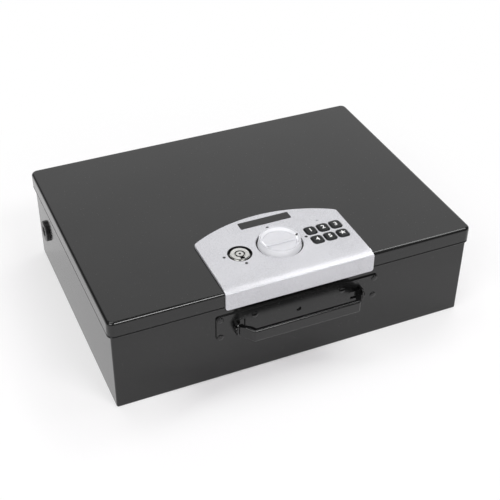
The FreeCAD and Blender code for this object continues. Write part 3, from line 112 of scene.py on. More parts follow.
class Socket:
    """One output of a node; arithmetic on it adds Math nodes to the same graph."""

    def __init__(self, graph: "Graph", end: bpy.types.NodeSocket) -> None:
        """Keep the graph and the output."""
        self.graph = graph
        self.end = end

    def _math(self, operation: str, first: Number, second: Number = 0.0) -> "Socket":
        """Add a Math node and give its result."""
        return self.graph.value("ShaderNodeMath", {"operation": operation}, {0: first, 1: second})

    def __add__(self, other: Number) -> "Socket":
        """Sum."""
        return self._math("ADD", self, other)

    __radd__ = __add__

    def __sub__(self, other: Number) -> "Socket":
        """Difference."""
        return self._math("SUBTRACT", self, other)

    def __rsub__(self, other: Number) -> "Socket":
        """Difference, with the socket on the right."""
        return self._math("SUBTRACT", other, self)

    def __mul__(self, other: Number) -> "Socket":
        """Product."""
        return self._math("MULTIPLY", self, other)

    __rmul__ = __mul__

    def __truediv__(self, other: Number) -> "Socket":
        """Quotient."""
        return self._math("DIVIDE", self, other)

    def __rtruediv__(self, other: Number) -> "Socket":
        """Quotient, with the socket on the right."""
        return self._math("DIVIDE", other, self)

    def __pow__(self, other: Number) -> "Socket":
        """Power."""
        return self._math("POWER", self, other)

    def __abs__(self) -> "Socket":
        """Size without its sign."""
        return self._math("ABSOLUTE", self)

    def __lt__(self, other: Number) -> "Socket":
        """One where the socket is the smaller, else zero."""
        return self._math("LESS_THAN", self, other)

    def least(self, other: Number) -> "Socket":
        """The smaller of the two."""
        return self._math("MINIMUM", self, other)

    def most(self, other: Number) -> "Socket":
        """The larger of the two."""
        return self._math("MAXIMUM", self, other)

    def sine(self) -> "Socket":
        """Sine of an angle in radians."""
        return self._math("SINE", self)

    def ramp(self, start: float, end: float, low: float = 0.0, high: float = 1.0) -> "Socket":
        """Map the value smoothly, so that start gives low and end gives high, held beyond both."""
        ends = {0: self, 1: start, 2: end, 3: low, 4: high}
        return self.graph.value("ShaderNodeMapRange", {"interpolation_type": "SMOOTHSTEP"}, ends)


class Graph:
    """A node tree under construction: every node comes from its node method."""

    def __init__(self, tree: bpy.types.NodeTree) -> None:
        """Keep the tree."""
        self.tree = tree

    def node(self, kind: str, settings: Mapping[str, Any] = NOTHING,
             inputs: Mapping[Any, Any] = NOTHING) -> bpy.types.Node:
        """Add one node.

        Args:
            kind: The node's type.
            settings: Properties to set on it.
            inputs: Values or sockets for its inputs, by name or index.

        Returns:
            The new node.
        """
        made = self.tree.nodes.new(kind)
        for name, setting in settings.items():
            setattr(made, name, setting)
        for key, item in inputs.items():
            if isinstance(item, Socket):
                self.tree.links.new(item.end, made.inputs[key])
            else:
                made.inputs[key].default_value = item
        return made

    def value(self, kind: str, settings: Mapping[str, Any] = NOTHING,
              inputs: Mapping[Any, Any] = NOTHING, output: Union[int, str] = 0) -> Socket:
        """Add one node, as the node method does, and give the output of that name or index."""
        return Socket(self, self.node(kind, settings, inputs).outputs[output])


class Surface(Graph):
    """A material's graph, with the piece's own coordinates at hand."""

    def __init__(self, name: str) -> None:
        """Start an empty material.

        Args:
            name: The material's name.
        """
        self.material = bpy.data.materials.new(name)
        self.material.use_nodes = True
        super().__init__(self.material.node_tree)
        self.tree.nodes.clear()
        self.place = self.value("ShaderNodeTexCoord", output="Object")
        axes = self.node("ShaderNodeSeparateXYZ", inputs={0: self.place})
        self.x, self.y, self.z = (Socket(self, end) for end in axes.outputs)

    def noise(self, scale: float, detail: float = 2.0,
              stretch: Point = (1.0, 1.0, 1.0)) -> Socket:
        """Noise over the piece.

        Args:
            scale: Features per metre.
            detail: How many finer layers are added.
            stretch: Factors on the three coordinates.

        Returns:
            A value from zero to one.
        """
        factors = {0: self.place, 1: stretch}
        place = self.value("ShaderNodeVectorMath", {"operation": "MULTIPLY"}, factors)
        inputs = {"Vector": place, "Scale": scale, "Detail": detail}
        return self.value("ShaderNodeTexNoise", inputs=inputs)

    def mix(self, share: Socket, first: Any, second: Any) -> Socket:
        """Blend two colours or sockets: a share of zero gives the first, one gives the second."""
        one, other = (item if isinstance(item, Socket) else (*item, 1.0) for item in (first, second))
        return self.value("ShaderNodeMix", {"data_type": "RGBA"}, {0: share, 6: one, 7: other}, 2)

    def from_axis(self, x: float, y: float) -> Socket:
        """Distance from an upright axis.

        Args:
            x: The axis's place along X.
            y: The axis's place along Y.

        Returns:
            The distance in metres.
        """
        across = self.x - x
        along = self.y - y
        return (across * across + along * along) ** 0.5

    def bump(self, height: Socket, distance: float) -> Socket:
        """A normal from a height, of which one stands for the distance in metres."""
        inputs = {"Height": height, "Distance": distance, "Strength": 1.0}
        return self.value("ShaderNodeBump", inputs=inputs)

    def close(self, inputs: Mapping[str, Any]) -> bpy.types.Material:
        """Add the shader and the output.

        Args:
            inputs: Values and sockets for the shader.

        Returns:
            The finished material.
        """
        shader = self.value("ShaderNodeBsdfPrincipled", inputs=inputs)
        self.node("ShaderNodeOutputMaterial", inputs={"Surface": shader})
        return self.material


@dataclass(frozen=True)
class Finish:
    """A surface finish: the name of its material and its main constants."""

    slot: str
    light: Colour
    dark: Colour
    roughness: float

    def material(self) -> bpy.types.Material:
        """Make the finish's material."""
        raise NotImplementedError

    def drifting(self, surface: Surface, drift: Socket) -> Socket:
        """The tone that follows a slow noise from dark to light."""
        return surface.mix(drift.ramp(*DRIFT), self.dark, self.light)


@dataclass(frozen=True)
class PaintedSteel(Finish):
    """Stove enamel on sheet steel: faint orange peel, slow drift of tone and a few dust specks."""

    peel: float = 1.6e-6
    dust: Colour = (0.10, 0.10, 0.10)

    def material(self) -> bpy.types.Material:
        """Make the paint.

        Returns:
            The material.
        """
        surface = Surface(self.slot)
        drift = surface.noise(11.0, 3.0)
        grain = surface.noise(1500.0, 2.0)
        wave = surface.noise(260.0, 1.0)
        speck = surface.noise(700.0, 0.0).ramp(0.80, 0.84)
        tone = self.drifting(surface, drift)
        dusty = surface.mix(speck * 0.3, tone, self.dust)
        rough = self.roughness + (drift - 0.5) * 0.05 + (grain - 0.5) * 0.04 + speck * 0.15
        normal = surface.bump(grain * 0.3 + wave * 0.7, self.peel)
        return surface.close({"Base Color": dusty, "Roughness": rough, "Normal": normal})


@dataclass(frozen=True)
class SilverPlastic(Finish):
    """Silver-sprayed moulding with fine grain, printed dots and painted shade in its wells."""

    dots: tuple[tuple[float, float], ...] = ()
    dot_radius: float = 0.0011
    print_above: float = 0.0
    metallic: float = 0.25
    shaded_wells: tuple[tuple[float, float, float], ...] = ()
    grain_depth: float = 2.5e-6
    flake_tone: Colour = (0.86, 0.86, 0.88)
    # The dark tone of the printed dots and of the painted shade in the wells.
    ink_and_shade_tone: Colour = (0.02, 0.02, 0.021)
    well_shade_fade: float = 0.0002
    print_fade: float = 0.0004

    def material(self) -> bpy.types.Material:
        """Make the plastic, print its dots and paint shade in its wells.

        Returns:
            The material.
        """
        surface = Surface(self.slot)
        drift = surface.noise(16.0, 3.0)
        flake = surface.noise(5200.0, 1.0)
        grain = surface.noise(1900.0, 2.0)
        tone = self.drifting(surface, drift)
        tone = surface.mix(flake.ramp(0.45, 0.75) * 0.35, tone, self.flake_tone)
        # Painted light on upright walls, where the finish has any.
        tone = self.walls(surface, tone)
        rough = self.roughness + (grain - 0.5) * 0.10 + (drift - 0.5) * 0.05
        # The printed dots and the painted shade down the wells share one dark tone.
        bare = self.print_mask(surface)
        for x, y, radius in self.shaded_wells:
            bare = bare.most(surface.from_axis(x, y).ramp(radius, radius - self.well_shade_fade))
        normal = surface.bump(grain * 0.7 + flake * 0.3, self.grain_depth)
        return surface.close({"Base Color": surface.mix(bare, tone, self.ink_and_shade_tone), "Roughness": rough,
                              "Normal": normal, "Metallic": self.metallic})

    def walls(self, surface: Surface, tone: Socket) -> Socket:
        """The painted light on upright walls; a plain moulding has none."""
        return tone

    def print_mask(self, surface: Surface) -> Socket:
        """Where the ink lies.

        Args:
            surface: The graph to work in.

        Returns:
            One on the printed dots, zero elsewhere.
        """
        nearest = surface.from_axis(*self.dots[0])
        for x, y in self.dots[1:]:
            nearest = nearest.least(surface.from_axis(x, y))
        inked = nearest.ramp(self.dot_radius, self.dot_radius * 0.85)
        return inked * surface.z.ramp(self.print_above - self.print_fade, self.print_above)


@dataclass(frozen=True)
class KnobPlastic(SilverPlastic):
    """The same plastic on a round knob, with painted light on the walls under the rim."""

    axis: tuple[float, float] = (0.0, 0.0)
    # Painted light on the knob's walls: where it starts, how it fades and its tone.
    wall_from: float = 0.0154
    wall_fade: float = 0.0008
    wall_below: float = 0.0
    rim_fade: float = 0.0005
    wall_light_tone: Colour = (0.93, 0.93, 0.96)

    def walls(self, surface: Surface, tone: Socket) -> Socket:
        """Paint light on the walls under the rim.

        Args:
            surface: The graph to work in.
            tone: The sprayed tone.

        Returns:
            The tone with painted light on its walls.
        """
        outer = surface.from_axis(*self.axis).ramp(self.wall_from, self.wall_from + self.wall_fade)
        lower = surface.z.ramp(self.wall_below, self.wall_below - self.rim_fade)
        return surface.mix(outer * lower, tone, self.wall_light_tone)


@dataclass(frozen=True)
class Plastic(Finish):
    """Plain moulded plastic with a spark-eroded grain."""

    grain: float = 1600.0
    depth: float = 4.0e-6
    gloss: float = 0.5

    def material(self) -> bpy.types.Material:
        """Make the plastic.

        Returns:
            The material.
        """
        surface = Surface(self.slot)
        drift = surface.noise(40.0, 3.0)
        fine = surface.noise(self.grain, 2.0)
        tone = self.drifting(surface, drift)
        rough = self.roughness + (fine - 0.5) * 0.12 + (drift - 0.5) * 0.05
        normal = surface.bump(fine, self.depth)
        return surface.close({"Base Color": tone, "Roughness": rough, "Normal": normal,
                              "Specular IOR Level": self.gloss})


@dataclass(frozen=True)
class Metal(Finish):
    """Plated or bare metal with fine lines along one way, and painted shade in a lock's bore where it has
    one.
    """

    grain: Grain = Grain.ALONG_X
    axis: tuple[float, float] = (0.0, 0.0)
    bore: float = 0.0
    face: float = 0.0
    line_depth: float = 3.0e-6
    turned_pitch: float = 0.00035
    # Painted shade of the lock: its tone, and where it lies in front, down the bore, round the rim and in
    # the middle.
    bore_shade_tone: Colour = (0.012, 0.012, 0.012)
    front: Span = (0.0022, 0.0030)
    sink: Span = (0.0003, 0.0008)
    bore_fade: float = 0.0004
    rim: Span = (0.0011, 0.0013)
    middle: Span = (0.0014, 0.0010)

    def material(self) -> bpy.types.Material:
        """Make the metal.

        Returns:
            The material.
        """
        surface = Surface(self.slot)
        lines = self.lines(surface)
        stain = surface.noise(120.0, 4.0)
        tone = surface.mix(stain.ramp(0.35, 0.75) * 0.7 + lines * 0.3, self.light, self.dark)
        rough = self.roughness + lines * 0.10 + (stain - 0.5) * 0.12
        # Painted shade down the lock's bore, round its rim and in its middle.
        if self.bore:
            tone = surface.mix(self.painted_bore_shade(surface), tone, self.bore_shade_tone)
        return surface.close({"Base Color": tone, "Roughness": rough, "Metallic": 1.0,
                              "Normal": surface.bump(lines, self.line_depth)})

    def painted_bore_shade(self, surface: Surface) -> Socket:
        """Where shade is painted on the lock: down its bore, most of all in front, round its rim and in its
        middle.

        Args:
            surface: The graph to work in.

        Returns:
            One where shade is painted, zero elsewhere.
        """
        reach = surface.from_axis(*self.axis)
        near = surface.y.ramp(*(self.axis[1] - step for step in self.front)) * 0.6 + 0.4
        below = surface.z.ramp(*(self.face - step for step in self.sink))
        deep = below * reach.ramp(self.bore, self.bore - self.bore_fade) * near
        rim = reach.ramp(*(self.bore + step for step in self.rim))
        return deep.most(rim).most(reach.ramp(*self.middle))

    def lines(self, surface: Surface) -> Socket:
        """The fine lines.

        Args:
            surface: The graph to work in.

        Returns:
            A value from zero to one across the lines.
        """
        if self.grain is Grain.TURNED:
            wave = (surface.from_axis(*self.axis) * (FULL_TURN / self.turned_pitch)).sine()
            return wave * 0.35 + 0.5 + (surface.noise(900.0) - 0.5) * 0.3
        return surface.noise(3000.0, 2.0, stretch=(0.04, 1.0, 1.0))


@dataclass(frozen=True)
class CircuitBoard(Finish):
    """Solder mask over copper tracks."""

    track_pitch: float = 0.0026
    track_height: float = 2.0e-5
    wander: float = 0.006

    def material(self) -> bpy.types.Material:
        """Make the board.

        Returns:
            The material.
        """
        surface = Surface(self.slot)
        bend = (surface.noise(220.0, 0.0) - 0.5) * self.wander
        rows = ((surface.y + bend) * (FULL_TURN / self.track_pitch)).sine()
        columns = ((surface.x + bend) * (FULL_TURN / (3 * self.track_pitch))).sine()
        track = rows.ramp(0.55, 0.75).most(columns.ramp(0.9, 0.96))
        weave = surface.noise(2500.0, 1.0)
        tone = surface.mix(track, self.dark, self.light)
        rough = self.roughness + weave * 0.1
        normal = surface.bump(track * 0.8 + weave * 0.2, self.track_height)
        return surface.close({"Base Color": tone, "Roughness": rough, "Normal": normal})


@dataclass(frozen=True)
class CoilTape(Finish):
    """Tape wound over a coil, with the turns showing as low ridges."""

    turn_pitch: float = 0.0011
    ridge_height: float = 6.0e-5

    def material(self) -> bpy.types.Material:
        """Make the tape.

        Returns:
            The material.
        """
        surface = Surface(self.slot)
        turns = (surface.x * (FULL_TURN / self.turn_pitch)).sine() * 0.5 + 0.5
        crease = surface.noise(700.0, 3.0)
        tone = surface.mix(turns * 0.5 + crease * 0.5, self.dark, self.light)
        rough = self.roughness + crease * 0.15
        normal = surface.bump(turns * 0.7 + crease * 0.3, self.ridge_height)
        return surface.close({"Base Color": tone, "Roughness": rough, "Normal": normal})


@dataclass(frozen=True)
class Lens(Finish):
    """Milky lens of a small light that is off."""

    def material(self) -> bpy.types.Material:
        """Make the lens.

        Returns:
            The material.
        """
        surface = Surface(self.slot)
        cloud = surface.noise(900.0, 3.0)
        tone = surface.mix(cloud, self.dark, self.light)
        return surface.close({"Base Color": tone, "Roughness": self.roughness + cloud * 0.08,
                              "Coat Weight": 0.8, "Coat Roughness": 0.05})


@dataclass(frozen=True)
class CellSleeve(Finish):
    """Printed sleeve of a dry cell: two colours, and bare metal at both ends."""

    low: float = 0.0
    high: float = 1.0
    turned: bool = False
    cap_tone: Colour = (0.62, 0.61, 0.58)
    scuff_tone: Colour = (0.5, 0.5, 0.5)
    scuff_depth: float = 4.0e-6

    def material(self) -> bpy.types.Material:
        """Make the sleeve.

        Returns:
            The material.
        """
        surface = Surface(self.slot)
        along = (surface.x - self.low) / (self.high - self.low)
        if self.turned:
            along = 1.0 - along
        band = along.ramp(0.70, 0.705)
        bare = along.ramp(0.957, 0.959).most(along.ramp(0.014, 0.012))
        scuff = surface.noise(500.0, 4.0)
        tone = surface.mix(band, self.dark, self.light)
        tone = surface.mix(bare, tone, self.cap_tone)
        tone = surface.mix(scuff.ramp(0.62, 0.8) * 0.25, tone, self.scuff_tone)
        return surface.close({"Base Color": tone, "Roughness": self.roughness + scuff * 0.12,
                              "Metallic": bare * 0.9 + band * (1.0 - bare) * 0.6,
                              "Normal": surface.bump(scuff, self.scuff_depth)})


@dataclass(frozen=True)
class Ink(Finish):
    """Pad-printed ink of the key legends."""

    def material(self) -> bpy.types.Material:
        """Make the ink.

        Returns:
            The material.
        """
        surface = Surface("legend_ink")
        cover = surface.noise(2500.0, 2.0)
        tone = surface.mix(cover, self.dark, self.light)
        return surface.close({"Base Color": tone, "Roughness": self.roughness + cover * 0.1})


class HeadField(Graph):
    """Geometry Nodes tree that sets one round head on every point of a mesh."""

    SIZES = ("Head radius", "Head height", "Crown power", "Recess depth", "Recess half width")
    ROUND_STEPS = 40
    RISE_STEPS = 12
    RECESS_REACH = 0.62

    def __init__(self, name: str, material: bpy.types.Material) -> None:
        """Build the tree.

        Args:
            name: The tree's name.
            material: What the heads are made of.
        """
        super().__init__(bpy.data.node_groups.new(name, "GeometryNodeTree"))
        face = self.tree.interface
        face.new_socket("Points", in_out="INPUT", socket_type="NodeSocketGeometry")
        for size in self.SIZES:
            face.new_socket(size, in_out="INPUT", socket_type="NodeSocketFloat")
        face.new_socket("Facing", in_out="INPUT", socket_type="NodeSocketVector")
        face.new_socket("Heads", in_out="OUTPUT", socket_type="NodeSocketGeometry")
        given = self.node("NodeGroupInput")
        ends = {end.name: Socket(self, end) for end in given.outputs if end.name}
        head = self.crown(*(ends[size] for size in self.SIZES))
        turn = self.value("FunctionNodeAlignRotationToVector", {"axis": "Z"}, {"Vector": ends["Facing"]})
        placed = self.value("GeometryNodeInstanceOnPoints",
                            inputs={"Points": ends["Points"], "Instance": head, "Rotation": turn})
        real = self.value("GeometryNodeRealizeInstances", inputs={0: placed})
        smooth = self.value("GeometryNodeSetShadeSmooth", inputs={0: real})
        dressed = self.value("GeometryNodeSetMaterial", inputs={"Geometry": smooth, "Material": material})
        self.node("NodeGroupOutput", inputs={0: dressed})

    def crown(self, radius: Socket, height: Socket, power: Socket, depth: Socket, half: Socket) -> Socket:
        """One head: a crowned disc, with a cross recess where the depth isn't zero.

        Args:
            radius: The head's radius.
            height: The height of its crown.
            power: Two gives a dome, more gives a flatter pan head.
            depth: The depth of the cross recess.
            half: Half the width of a recess arm.

        Returns:
            The head's mesh.
        """
        steps = {"Vertices": self.ROUND_STEPS, "Side Segments": self.RISE_STEPS, "Fill Segments": 1}
        sizes = {"Radius Top": 0.0, "Radius Bottom": radius, "Depth": height}
        blank = self.value("GeometryNodeMeshCone", inputs={**steps, **sizes})
        axes = self.node("ShaderNodeSeparateXYZ", inputs={0: self.value("GeometryNodeInputPosition")})
        x, y = (Socket(self, end) for end in axes.outputs[:2])
        reach = (x * x + y * y) ** 0.5 / radius
        top = height * ((1.0 - reach ** power).most(0.0) ** 0.5)
        arms = (abs(x).least(abs(y)) < half) * (reach < self.RECESS_REACH)
        place = self.value("ShaderNodeCombineXYZ", inputs={"X": x, "Y": y, "Z": top - arms * depth})
        return self.value("GeometryNodeSetPosition", inputs={"Geometry": blank, "Position": place})

    def grow(self, name: str, boxes: Sequence[Box], facing: Vector,
             sizes: Mapping[str, float]) -> bpy.types.Object:
        """Set a head into one end of each box and keep the result as a plain mesh.

        Args:
            name: The new object's name.
            boxes: The boxes of the solids that get a head.
            facing: The way the crowns point, and so the end that gets them.
            sizes: The tree's sizes by name.

        Returns:
            The finished object.
        """
        points = []
        for low, high in boxes:
            half = abs(facing.dot(high - low)) / 2
            points.append((low + high) / 2 + facing * (half - sizes["Head height"]))
        seeds = bpy.data.meshes.new(name + "_points")
        seeds.from_pydata(points, [], [])
        grown = add_object(name, seeds)
        modifier = grown.modifiers.new("Heads", "NODES")
        modifier.node_group = self.tree
        wanted = {**sizes, "Facing": tuple(facing)}
        for item in self.tree.interface.items_tree:
            if item.in_out == "INPUT" and item.name in wanted:
                modifier[item.identifier] = wanted[item.name]
        mesh = evaluated_mesh(grown)
        grown.modifiers.clear()
        grown.data = mesh
        bpy.data.meshes.remove(seeds)
        return grown


def add_object(name: str, data: Any) -> bpy.types.Object:
    """Put a new object into the scene at the origin.

    Args:
        name: Its name.
        data: Its mesh, light or camera.

    Returns:
        The object.
    """
    made = bpy.data.objects.new(name, data)
    bpy.context.scene.collection.objects.link(made)
    return made


def evaluated_mesh(made: bpy.types.Object) -> bpy.types.Mesh:
    """A plain mesh of an object as its modifiers or its curve make it."""
    bpy.context.view_layer.update()
    return bpy.data.meshes.new_from_object(made.evaluated_get(bpy.context.evaluated_depsgraph_get()))


def merged(node: str) -> bmesh.types.BMesh:
    """A merged copy of a frame node's mesh; the caller frees it.

    Args:
        node: The node's name.

    Returns:
        The copy.
    """
    copy = bmesh.new()
    copy.from_mesh(frame["nodes"][node].data)
    bmesh.ops.remove_doubles(copy, verts=copy.verts, dist=WELD)
    return copy


def solid_boxes(node: str) -> list[Box]:
    """The box of each separate solid of a node.

    Args:
        node: The node's name.

    Returns:
        Lowest and highest corner of each solid.
    """
    copy = merged(node)
    met = set()
    boxes = []
    for start in copy.verts:
        if start in met:
            continue
        met.add(start)
        group = [start]
        for vertex in group:
            others = [edge.other_vert(vertex) for edge in vertex.link_edges]
            group += [other for other in others if other not in met]
            met.update(others)
        boxes.append((Vector([min(v.co[i] for v in group) for i in range(3)]),
                      Vector([max(v.co[i] for v in group) for i in range(3)])))
    copy.free()
    return boxes


def middle_of(node: str) -> Vector:
    """The middle of a node's box."""
    low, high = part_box(node)
    return (low + high) / 2


def settle(made: bpy.types.Object, node: str) -> bpy.types.Object:
    """Let a finished piece stand for a node and move with its body.

    Args:
        made: The finished piece.
        node: The node it stands for.

    Returns:
        The piece.
    """
    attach(made, body_of(frame["nodes"][node])[0])
    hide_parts(node)
    return made


class Shop:
    """Dresses the nodes, and keeps one material for each finish, so that pieces share it."""

    FLAT_ANGLE = math.radians(0.5)
    BREAK_STEPS = 3

    def __init__(self) -> None:
        """Start with no materials."""
        self.made: dict[Finish, bpy.types.Material] = {}

    def material(self, finish: Finish) -> bpy.types.Material:
        """The finish's material, made on first use.

        Args:
            finish: The finish.

        Returns:
            Its material.
        """
        if finish not in self.made:
            self.made[finish] = finish.material()
        return self.made[finish]

    def skin(self, node: str, finish: Finish, crease: Crease = Crease.USUAL,
             broken: float = 0.0) -> bpy.types.Object:
        """Replace a node by a smooth, merged copy of itself.

        Args:
            node: The node's name.
            finish: What it is made of.
            crease: The edges that stay sharp.
            broken: The width in metres to which sharp edges are broken.

        Returns:
            The copy.
        """
        shape = merged(node)
        if broken:
            bmesh.ops.dissolve_limit(shape, angle_limit=self.FLAT_ANGLE,
                                     verts=shape.verts, edges=shape.edges)
        made = self.wear(node, shape, finish, crease)
        if broken:
            bevel = made.modifiers.new("Broken edges", "BEVEL")
            bevel.width = broken
            bevel.segments = self.BREAK_STEPS
            bevel.limit_method = "ANGLE"
            bevel.angle_limit = math.radians(crease.value)
            made.modifiers.move(1, 0)
        return made

    def wear(self, node: str, shape: bmesh.types.BMesh, finish: Finish, crease: Crease,
             extra: Sequence[Finish] = ()) -> bpy.types.Object:
        """Turn a shape into the piece that stands for a node, and free the shape.

        Args:
            node: The node's name.
            shape: The mesh, in place.
            finish: What it is made of.
            crease: The edges that stay sharp.
            extra: Further finishes for faces with a higher material number.

        Returns:
            The piece.
        """
        mesh = bpy.data.meshes.new(node + "_look")
        shape.to_mesh(mesh)
        shape.free()
        if "custom_normal" in mesh.attributes:
            mesh.attributes.remove(mesh.attributes["custom_normal"])
        for worn in (finish, *extra):
            mesh.materials.append(self.material(worn))
        mesh.shade_smooth()
        mesh.set_sharp_from_angle(angle=math.radians(crease.value))
        made = add_object(node + "_look", mesh)
        weighted = made.modifiers.new("Weighted", "WEIGHTED_NORMAL")
        weighted.keep_sharp = True
        return settle(made, node)


BLACK_PAINT = PaintedSteel("black_paint", (0.0075, 0.0075, 0.0076), (0.0050, 0.0050, 0.0051), 0.13)
SATIN_PAINT = replace(BLACK_PAINT, roughness=0.24)
STEEL = Metal("steel", (0.62, 0.62, 0.63), (0.38, 0.38, 0.39), 0.28)
BRASS = Metal("brass", (0.72, 0.52, 0.22), (0.50, 0.33, 0.12), 0.25)
BLACK_PLASTIC = Plastic("black_plastic", (0.035, 0.035, 0.037), (0.022, 0.022, 0.023), 0.50)
JET_PLASTIC = replace(BLACK_PLASTIC, light=(0.012, 0.012, 0.013), dark=(0.008, 0.008, 0.009), roughness=0.36)
KEY_PLASTIC = Plastic("key_plastic", (0.014, 0.015, 0.016), (0.009, 0.010, 0.011), 0.30,
                      grain=2200.0, depth=2.0e-6, gloss=0.22)
GLOSS = Plastic("black_gloss", (0.014, 0.014, 0.014), (0.009, 0.009, 0.009), 0.24,
                grain=900.0, depth=1.0e-6, gloss=0.42)
RUBBER = Plastic("mat_rubber", (0.11, 0.11, 0.115), (0.07, 0.07, 0.075), 0.75, grain=700.0, depth=1.2e-5)
LEGEND = Ink("key_plastic", (0.86, 0.86, 0.86), (0.78, 0.78, 0.78), 0.45)
BOARD = CircuitBoard("board", (0.03, 0.17, 0.07), (0.012, 0.085, 0.035), 0.35)
TAPE = CoilTape("coil_tape", (0.62, 0.40, 0.10), (0.42, 0.24, 0.05), 0.35)
LENS = Lens("light_lens", (0.38, 0.40, 0.42), (0.28, 0.30, 0.32), 0.2)
SIDES = ("left", "right")


@dataclass
class Tray:
    """The painted steel body and the strike bar welded under its rim."""

    shop: Shop

    def build(self) -> list[bpy.types.Object]:
        """Dress the body.

        Returns:
            The pieces.
        """
        return [self.shop.skin(node, BLACK_PAINT) for node in ("body_shell", "strike_bar")]


@dataclass
class CarryHandle:
    """The plate, the bow, its pins and the rivets of the front handle."""

    shop: Shop
    head_height: float = 0.0012
    tail_height: float = 0.0010
    tail_share: float = 0.78
    head_crown: float = 2.0
    tail_crown: float = 3.0
    thin_break: float = 0.0003
    bow_break: float = 0.0014

    def build(self) -> list[bpy.types.Object]:
        """Dress the handle.

        Returns:
            The pieces.
        """
        pieces = [self.shop.skin("handle_plate", SATIN_PAINT, broken=self.thin_break),
                  self.shop.skin("carry_handle", BLACK_PAINT, broken=self.bow_break)]
        for side in SIDES:
            pieces.append(self.shop.skin(f"handle_pin_{side}", BLACK_PAINT, broken=self.thin_break))
        return pieces + self.rivets()

    def rivets(self) -> list[bpy.types.Object]:
        """Grow a dome on both ends of every rivet.

        Returns:
            The heads outside and the tails inside.
        """
        field_tree = HeadField("rivet_heads", self.shop.material(BLACK_PAINT))
        boxes = solid_boxes("handle_rivets")
        radius = (boxes[0][1].x - boxes[0][0].x) / 2
        sizes = {"Head radius": radius, "Head height": self.head_height, "Crown power": self.head_crown}
        heads = field_tree.grow("handle_rivets_look", boxes, Vector((0, -1, 0)), sizes)
        sizes = {"Head radius": radius * self.tail_share, "Head height": self.tail_height,
                 "Crown power": self.tail_crown}
        tails = field_tree.grow("handle_rivets_inside", boxes, Vector((0, 1, 0)), sizes)
        return [settle(made, "handle_rivets") for made in (heads, tails)]


@dataclass
class Hinges:
    """Two three-knuckle hinges on the rear wall."""

    shop: Shop

    def build(self) -> list[bpy.types.Object]:
        """Dress the hinges.

        Returns:
            The pieces.
        """
        pieces = []
        for side in SIDES:
            for name, finish in (("body_leaf", BLACK_PAINT), ("lid_leaf", BLACK_PAINT), ("pin", STEEL)):
                pieces.append(self.shop.skin(f"hinge_{name}_{side}", finish))
        return pieces


@dataclass
class CableAnchor:
    """The flanged bush for a security cable, and its nut."""

    shop: Shop

    def build(self) -> list[bpy.types.Object]:
        """Dress the anchor.

        Returns:
            The pieces.
        """
        return [self.shop.skin("cable_anchor", JET_PLASTIC), self.shop.skin("anchor_nut", STEEL)]


@dataclass
class Lid:
    """The lid pressing, with a groove rolled into its skirt above the hem."""

    shop: Shop
    groove_lift: float = 0.0020
    groove_half: float = 0.0009
    groove_depth: float = 0.00048
    groove_steps: int = 6

    def build(self) -> list[bpy.types.Object]:
        """Dress the lid.

        Returns:
            The pieces.
        """
        shape = merged("lid_shell")
        self.roll_groove(shape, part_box("lid_shell")[0].z + self.groove_lift)
        return [self.shop.wear("lid_shell", shape, BLACK_PAINT, Crease.USUAL)]

    def roll_groove(self, shape: bmesh.types.BMesh, middle: float) -> None:
        """Press a rounded groove into the outside of the skirt.

        Args:
            shape: The lid's mesh.
            middle: The height of the groove's middle.
        """
        for step in range(-self.groove_steps, self.groove_steps + 1):
            level = middle + self.groove_half * step / self.groove_steps
            whole = [*shape.verts, *shape.edges, *shape.faces]
            bmesh.ops.bisect_plane(shape, geom=whole, plane_co=(0.0, 0.0, level), plane_no=(0.0, 0.0, 1.0))
        shape.normal_update()
        pressed = []
        for vertex in shape.verts:
            near = 1.0 - abs(vertex.co.z - middle) / self.groove_half
            outward = vertex.normal.to_2d()
            if near > 0.0 and outward.dot(vertex.co.to_2d()) > 0.0:
                share = near * near * (3.0 - 2.0 * near)
                pressed.append((vertex, outward.normalized().to_3d() * (self.groove_depth * share)))
        for vertex, move in pressed:
            vertex.co -= move


@dataclass
class ControlPanel:
    """The silver panel with its printed dots, the bare label plate and the push nuts."""

    shop: Shop
    knob_dots: float = 0.0272
    lock_dots: float = 0.0154
    dot_radius: float = 0.0016
    well_radius: float = 0.0117

    def build(self) -> list[bpy.types.Object]:
        """Dress the panel.

        Returns:
            The pieces.
        """
        knob, lock = middle_of("turn_knob"), middle_of("lock_barrel")
        dots = ((knob.x, knob.y + self.knob_dots), (knob.x + self.knob_dots, knob.y),
                (lock.x - self.lock_dots, lock.y), (lock.x, lock.y - self.lock_dots))
        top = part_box("control_panel")[1].z
        # The lock's well in the panel gets painted shade.
        well = (lock.x, lock.y, self.well_radius)
        paint = SilverPlastic("silver_plastic", (0.585, 0.585, 0.615), (0.545, 0.545, 0.575), 0.28,
                              dots, self.dot_radius, print_above=top, shaded_wells=(well,))
        worn = {"control_panel": paint, "label_plate": GLOSS, "panel_push_nuts": STEEL}
        return [self.shop.skin(node, finish) for node, finish in worn.items()]


